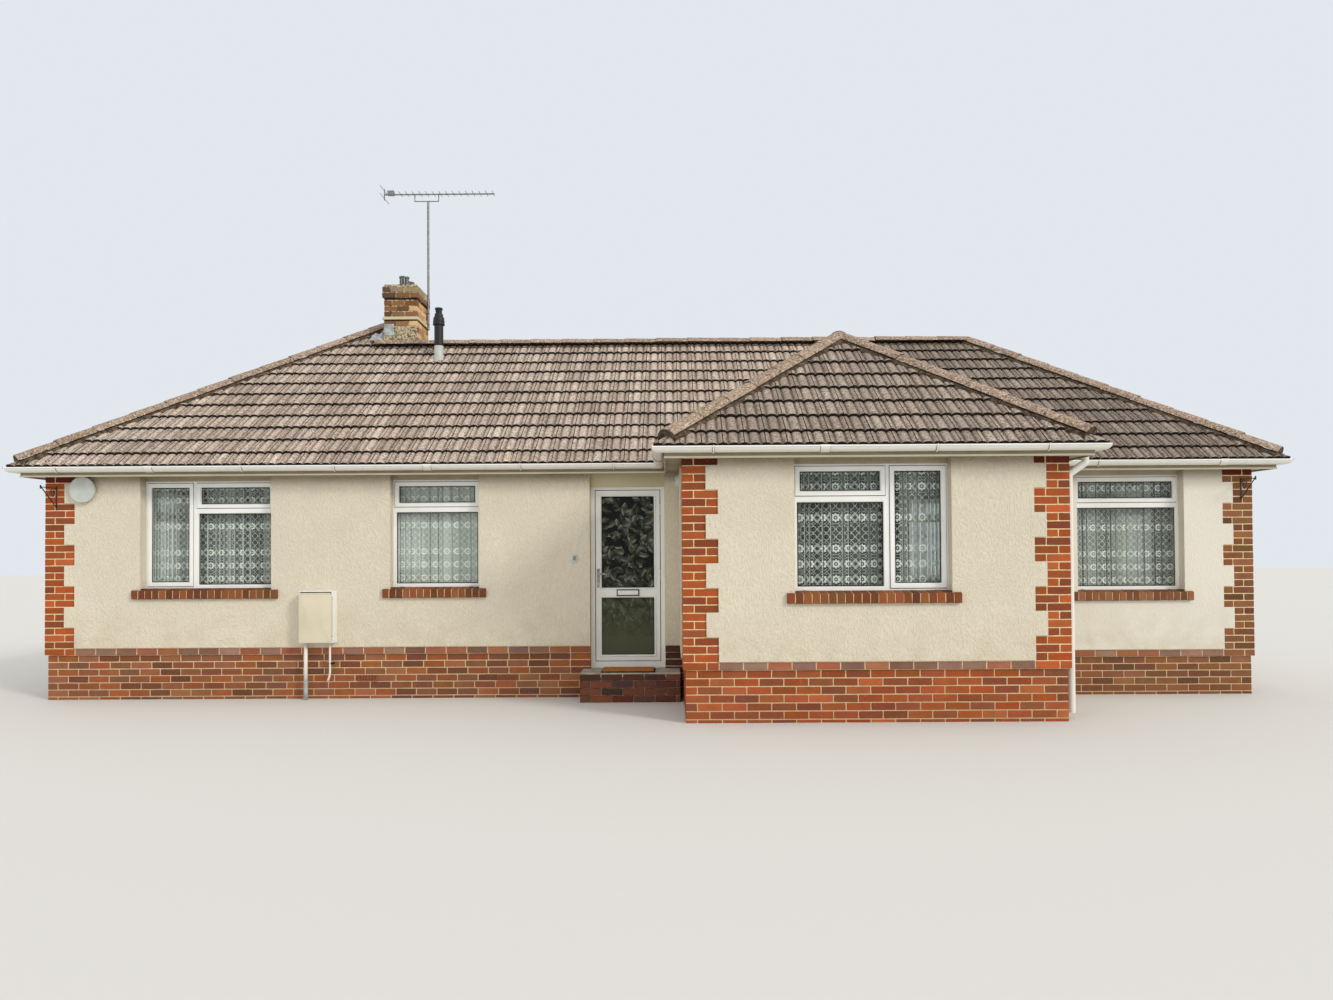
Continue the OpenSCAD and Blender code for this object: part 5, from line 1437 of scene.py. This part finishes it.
class BUNGALOW_OT_chimney(bpy.types.Operator):
    """Builds the chimney's brickwork, cap and pots and the flue, and paints the aerial"""
    bl_idname = "bungalow.chimney"
    bl_label = "Chimney, flue and aerial"

    def execute(self, context):
        x, y, w, d, top = STACK
        corners = np.array([(x, y), (x + w, y), (x + w, y + d), (x, y + d)]) + SHIFT
        cap_z = top - 2.4 * COURSE
        rows = math.floor((cap_z - 4.0) / COURSE)
        bricks = Bricks()
        for side in range(4):
            line = line_axes(corners[side], corners[(side + 1) % 4])
            for k in range(-rows, 2):
                # Under the cap and under the fillet the courses lie a little lower
                z0 = cap_z + k * COURSE - (0.0 if k >= 0 else 0.030 if k > -4 else 0.080)
                even = k % 2 == 0
                e = PROUD + (0.020 if k >= 0 else 0.0)
                a = -e + (0.0 if even else HALF)
                span = line[3] + e - (HALF if even else 0.0) - a + JOINT
                count = max(1, round(span / BRICK))
                pitch = span / count
                # The side turned to the sun takes paler bricks as painted light
                kind = "rough" if k == 1 else "cap" if k == 0 else \
                    "stack_side" if side == 1 else "stack"
                for m in range(count):
                    deep = HALF_FACE if m == (0 if even else count - 1) else DEPTH
                    bricks.add(line, a + m * pitch, a + (m + 1) * pitch - JOINT, e - deep, e,
                               z0, z0 + COURSE - JOINT, kind)
        bricks.build("stack_bricks", 9, 0.004, 0.003,
                     {"stack": 31, "stack_side": 32, "cap": 33, "rough": 34})
        middle = corners.mean(axis=0)
        fillet = cap_z - 3 * COURSE - 0.034
        # Level bands right round the stack: a dark band of painted shadow over a thick joint
        # under the cap, the pale fillet, and a dark band of painted shadow under the fillet
        for name, look, grow, z0, z1 in (
                ("stack_shadow_joint", "dark", 0.002, cap_z - 0.031, cap_z - 0.001),
                ("stack_fillet", "smooth_render", 0.024, fillet - 0.040, fillet),
                ("stack_fillet_painted_shadow", "dark", 0.003, fillet - 0.060, fillet - 0.038)):
            add_piece(name, [boxes([(*middle, (z0 + z1) / 2)],
                                   [(w / 2 + grow, d / 2 + grow, (z1 - z0) / 2)], np.eye(3),
                                   0.004)], look)
        # Flaunching: z = rim + rise (1 - m^2.5), m the larger of |a| and |b| over the cap
        a, b = np.meshgrid(np.linspace(-1, 1, 17), np.linspace(-1, 1, 21))
        m = np.maximum(abs(a), abs(b))
        rough = np.random.default_rng(5).normal(0, 0.003, m.shape)
        mound = np.stack([middle[0] + a * (w / 2 + 0.018), middle[1] + b * (d / 2 + 0.018),
                          cap_z + 2 * COURSE - 0.012 + 0.062 * (1 - m ** 2.5) + rough], -1)
        add_piece("stack_flaunching", [(mound, [grid_faces(21, 17)])], "flaunching",
                  smooth=True)
        # Roughcast and a lead apron low on the stack's front
        front = corners[0]
        for name, look, along, off, z, half in (
                ("stack_roughcast", "stack_mortar", w / 2, 0.010, fillet - 0.345,
                 (w / 2 + 0.006, 0.007, 0.215)),
                ("stack_lead_apron", "lead", 0.070, 0.020, fillet - 0.180,
                 (0.066, 0.003, 0.080))):
            add_piece(name, [boxes([(front[0] + along, front[1] - off, z)], [half], np.eye(3),
                                   0.003)], look)
        # Lead dressed over the tiles: height = 58 mm + 9 mm sin(2 pi u / roll) off the slope
        sheets = []
        for u_a, u_b, v_a, v_b, lean in ((2.800, 2.985, 2.600, 2.790, 0.05),
                                         (2.925, 3.005, 2.800, 3.060, 0.02)):
            u, v = np.meshgrid(np.linspace(u_a, u_b, 17), np.linspace(v_a, v_b, 7))
            u = u + lean * (v - v_a) / (v_b - v_a)
            h = 0.058 + 0.009 * np.sin(2 * np.pi * u / (TILE_PITCH / 2))
            sheets.append((slope_place((0.0, FRONT), 0, MAIN_RISE, u,
                                       v * math.hypot(1, MAIN_RISE), h), [grid_faces(7, 17)]))
        add_piece("stack_lead_sheets", sheets, "lead", smooth=True)
        # Slotted metal pots: a core painted dark as the shade inside each pot, behind ten bars,
        # between a collar and a cap
        metal, cores = [], []
        t = 2 * np.pi / POT_BARS * np.arange(POT_BARS)
        turned = np.zeros((POT_BARS, 3, 3))
        turned[:, 0, 0], turned[:, 1, 0] = -np.sin(t), np.cos(t)
        turned[:, 0, 1], turned[:, 1, 1] = -np.cos(t), -np.sin(t)
        turned[:, 2, 2] = 1
        around = np.stack([0.060 * np.cos(t), 0.060 * np.sin(t), np.full(POT_BARS, 0.080)], -1)
        for share in (0.3, 0.72):
            foot = np.array([middle[0], front[1] + d * share, top])
            metal += [boxes(foot + around, [(0.0115, 0.003, 0.060)] * POT_BARS, turned, 0.001),
                      lathe(POT_COLLAR, foot), lathe(POT_CAP, foot)]
            cores.append(lathe([(0.050, 0.0), (0.050, 0.135)], foot))
        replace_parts(add_piece("pot_cowls", metal, "dull_metal"), "chimney_pots")
        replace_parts(add_piece("pot_cores_painted_shade", cores, "dark"), "chimney_pots")
        at = (3.870 + SHIFT[0], 1.966 + SHIFT[1], 0.0)
        add_piece("flue_sleeve", [lathe(FLUE_SLEEVE, at)], "pale_plastic", smooth=True)
        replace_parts(add_piece("flue", [lathe(FLUE, at)], "black_metal"), "flue_pipe")
        paint("stack_mortar", "chimney_stack")
        paint("dull_metal", "aerial_mast", "aerial")
        return {"FINISHED"}


class BUNGALOW_OT_fittings(bpy.types.Operator):
    """Finishes the meter box, pipes, airbricks, lamps, brackets, floor and ceiling"""
    bl_idname = "bungalow.fittings"
    bl_label = "Wall fittings"

    def execute(self, context):
        paint("white", "meter_box")
        paint("meter", "meter_door")
        paint("brick_plain", "airbricks")
        paint("pale_plastic", "wall_lamps")
        # Meter door: raised panel, keyhole, and hinge lugs on the box
        u0, z0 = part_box("meter_box")[0][0] - RING[0][0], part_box("meter_box")[0][2]
        out = RING[0][1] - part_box("meter_door")[0][1] - 0.006
        lug = (0.005, 0.006, 0.022)
        for name, body, at, half in (
                ("meter_keyhole", "meter_lid", (u0 + 0.024, out + 0.0065, z0 + 0.282),
                 (0.005, 0.0012, 0.007)),
                ("meter_lug_low", "house", (u0 + 0.360, out - 0.014, z0 + 0.060), lug),
                ("meter_lug_high", "house", (u0 + 0.360, out - 0.014, z0 + 0.490), lug)):
            add_piece(name, [wall_box(0, at, half, 0.0008)], "gasket", body=body)
        # A flat pyramid on the door: 14 mm high from its rim to its middle
        low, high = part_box("meter_door")
        w, h = high[0] - low[0], high[2] - low[2]
        local = [(u, face, z) for du, dz, face in ((0.006, 0.006, out + 0.0062),
                                                   (0.26 * w, 0.36 * h, out + 0.0202))
                 for u, z in ((u0 + du, z0 + dz), (u0 + w - du, z0 + dz),
                              (u0 + w - du, z0 + h - dz), (u0 + du, z0 + h - dz))]
        quads = np.array([(0, 1, 5, 4), (1, 2, 6, 5), (2, 3, 7, 6), (3, 0, 4, 7), (4, 5, 6, 7)])
        add_piece("meter_panel", [(on_wall(0, local), [quads])], "meter", body="meter_lid")
        # The two pipes under it: one straight on a grey foot, one bent aside at its end
        bend = [(0.305, 0.050, z0), (0.305, 0.050, 0.38), (0.307, 0.050, 0.310),
                (0.300, 0.048, 0.262), (0.288, 0.045, 0.225), (0.279, 0.042, 0.200)]
        pipes = [tube(0, [(u0 + 0.047, 0.070, z) for z in (0.215, 0.36, z0)], 0.020),
                 tube(0, np.array(bend) + [u0, 0, 0], 0.011)]
        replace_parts(add_piece("meter_pipes", pipes, "gutter", smooth=True), "service_pipes")
        foot = tube(0, [(u0 + 0.047, 0.070, z) for z in (0.0, 0.10, 0.218)], 0.023)
        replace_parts(add_piece("meter_pipe_foot", [foot], "lead", smooth=True),
                    "service_pipes")
        add_piece("meter_pipe_clip", [wall_box(0, (u0 + 0.315, 0.028, 0.393),
                                               (0.026, 0.030, 0.008))], "gasket")
        # Rolled rim of the round cover
        t = np.linspace(0, 2 * np.pi, 49)
        rim = np.stack([0.443 + 0.137 * np.cos(t), np.full(49, RENDER_T + 0.049),
                        2.317 + 0.137 * np.sin(t)], -1)
        add_piece("cover_rim", [tube(0, rim, 0.0055, 8, False)], "pale_plastic", smooth=True)
        # Scrolls of the basket brackets: spirals of radius 46 down to 12 mm
        t, r = np.linspace(0, 3.2 * np.pi, 40), np.linspace(0.046, 0.012, 40)
        scrolls = [tube(i, np.stack([np.full(40, u), 0.066 + r * np.cos(t),
                                     z + r * np.sin(t)], -1), 0.004, 8)
                   for i, u, z in ((0, 0.120, 2.280), (4, RIGHT_LEN - 0.120, 2.290))]
        add_piece("bracket_scrolls", scrolls, "black_metal", smooth=True)
        paint("black_metal", "basket_brackets")
        # The floor and ceiling are dark as painted shade
        paint("inside", "floor_slab", "ceiling")
        return {"FINISHED"}


FLOOR, SENSOR = 60.0, 36.0
SUN_TOWARDS, SUN_POWER = (-0.675, 0.540, -0.502), 1.42
SUN_COLOUR, SUN_WIDTH = (1.0, 0.955, 0.88), 0.20
SKY_COLOUR, SKY_POWER = (0.985, 0.99, 1.0), 0.95


class BUNGALOW_OT_stage(bpy.types.Operator):
    """Sets the floor, the soft studio light and the camera at the photograph's view"""
    bl_idname = "bungalow.stage"
    bl_label = "Stage"

    def execute(self, context):
        scene = context.scene
        mesh = bpy.data.meshes.new("stage_floor")
        mesh.from_pydata([(-FLOOR, -FLOOR, 0), (FLOOR, -FLOOR, 0), (FLOOR, FLOOR, 0),
                          (-FLOOR, FLOOR, 0)], [], [(0, 1, 2, 3)])
        floor = bpy.data.objects.new("stage_floor", mesh)
        scene.collection.objects.link(floor)
        mesh.materials.append(Shader("stage_floor").finish(linear((214, 212, 207)), 0.9))

        # The sky lights with one colour and is seen, mirrored and seen through as another
        scene.world = bpy.data.worlds.new("stage_world")
        scene.world.use_nodes = True
        s = Nodes(scene.world.node_tree, "World")
        ray = s.node("LightPath").outputs
        seen = s.larger(s.larger(ray["Is Camera Ray"], ray["Is Glossy Ray"]),
                        ray["Is Transmission Ray"])
        light = s.node("Background", {"Color": SKY_COLOUR, "Strength": SKY_POWER})
        shown = s.node("Background", {"Color": linear((226, 232, 238)), "Strength": 1.0})
        s.close(s.node("MixShader", {0: seen, 1: light.outputs[0], 2: shown.outputs[0]}))

        data = bpy.data.lights.new("key", "SUN")
        data.energy, data.color, data.angle = SUN_POWER, SUN_COLOUR, SUN_WIDTH
        sun = bpy.data.objects.new("key", data)
        scene.collection.objects.link(sun)
        sun.rotation_mode = "QUATERNION"
        sun.rotation_quaternion = Vector(SUN_TOWARDS).to_track_quat("-Z", "Y")

        data = bpy.data.cameras.new("camera")
        data.sensor_fit, data.sensor_width = "HORIZONTAL", SENSOR
        data.lens = FOCAL_PX / PHOTO_W * SENSOR
        data.shift_y, data.clip_end = CAMERA_SHIFT, 300
        camera = bpy.data.objects.new("camera", data)
        scene.collection.objects.link(camera)
        camera.location = CAMERA_AT
        camera.rotation_mode = "QUATERNION"
        turn = Matrix.Identity(3)
        for degrees, axis in ((CAMERA_YAW, "Z"), (CAMERA_ROLL, "Y"), (90 + CAMERA_PITCH, "X")):
            turn = turn @ Matrix.Rotation(math.radians(degrees), 3, axis)
        camera.rotation_quaternion = turn.to_quaternion()
        scene.camera = camera
        scene.view_settings.view_transform = "Standard"
        return {"FINISHED"}


class BungalowSizes(bpy.types.PropertyGroup):
    """Sizes that a user would change"""
    fold_pitch: FloatProperty(
        name="Fold pitch", description="Distance from one curtain fold to the next",
        default=0.075, min=0.04, max=0.2, unit="LENGTH")
    tile_slide: FloatProperty(
        name="Tile slip", description="How far a roof tile lies out of its course's line",
        default=0.004, min=0.0, max=0.015, unit="LENGTH")
    leaf_count: IntProperty(
        name="Leaves", description="Number of leaves in the door's upper pane", default=190,
        min=0, max=600)


class BungalowColours(bpy.types.PropertyGroup):
    """Colours that a user would change"""
    render_colour: FloatVectorProperty(
        name="Render", description="Colour of the roughcast render", subtype="COLOR",
        size=3, min=0, max=1, default=tuple(linear((224, 215, 195))))
    tile_tone: FloatProperty(
        name="Tile tone", description="How light the roof tiles are", default=1.03, min=0.5,
        max=1.5)
    brick_tone: FloatProperty(
        name="Brick tone", description="How light the bricks are", default=1.0, min=0.5,
        max=1.3)


OPERATORS = [BUNGALOW_OT_brickwork, BUNGALOW_OT_sills, BUNGALOW_OT_reveals,
             BUNGALOW_OT_tiles, BUNGALOW_OT_ridges, BUNGALOW_OT_eaves, BUNGALOW_OT_windows,
             BUNGALOW_OT_curtains, BUNGALOW_OT_door, BUNGALOW_OT_chimney,
             BUNGALOW_OT_fittings, BUNGALOW_OT_stage]


class BUNGALOW_PT_panel(bpy.types.Panel):
    """Lists the building steps"""
    bl_label = "Bungalow"
    bl_idname = "BUNGALOW_PT_panel"
    bl_space_type = "VIEW_3D"
    bl_region_type = "UI"
    bl_category = "Bungalow"

    def draw(self, context):
        for group in (context.scene.bungalow_sizes, context.scene.bungalow_colours):
            for name in group.__annotations__:
                self.layout.prop(group, name)
        for operator in OPERATORS:
            self.layout.operator(operator.bl_idname)


CLASSES = [BungalowSizes, BungalowColours, *OPERATORS, BUNGALOW_PT_panel]


def register():
    for cls in CLASSES:
        bpy.utils.register_class(cls)
    bpy.types.Scene.bungalow_sizes = PointerProperty(type=BungalowSizes)
    bpy.types.Scene.bungalow_colours = PointerProperty(type=BungalowColours)


def unregister():
    del bpy.types.Scene.bungalow_colours
    del bpy.types.Scene.bungalow_sizes
    for cls in reversed(CLASSES):
        bpy.utils.unregister_class(cls)


def main():
    """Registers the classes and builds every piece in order."""
    register()
    bpy.ops.bungalow.brickwork()
    bpy.ops.bungalow.sills()
    bpy.ops.bungalow.reveals()
    bpy.ops.bungalow.tiles()
    bpy.ops.bungalow.ridges()
    bpy.ops.bungalow.eaves()
    bpy.ops.bungalow.windows()
    bpy.ops.bungalow.curtains()
    bpy.ops.bungalow.door()
    bpy.ops.bungalow.chimney()
    bpy.ops.bungalow.fittings()
    bpy.ops.bungalow.stage()


if __name__ == "__main__":
    main()
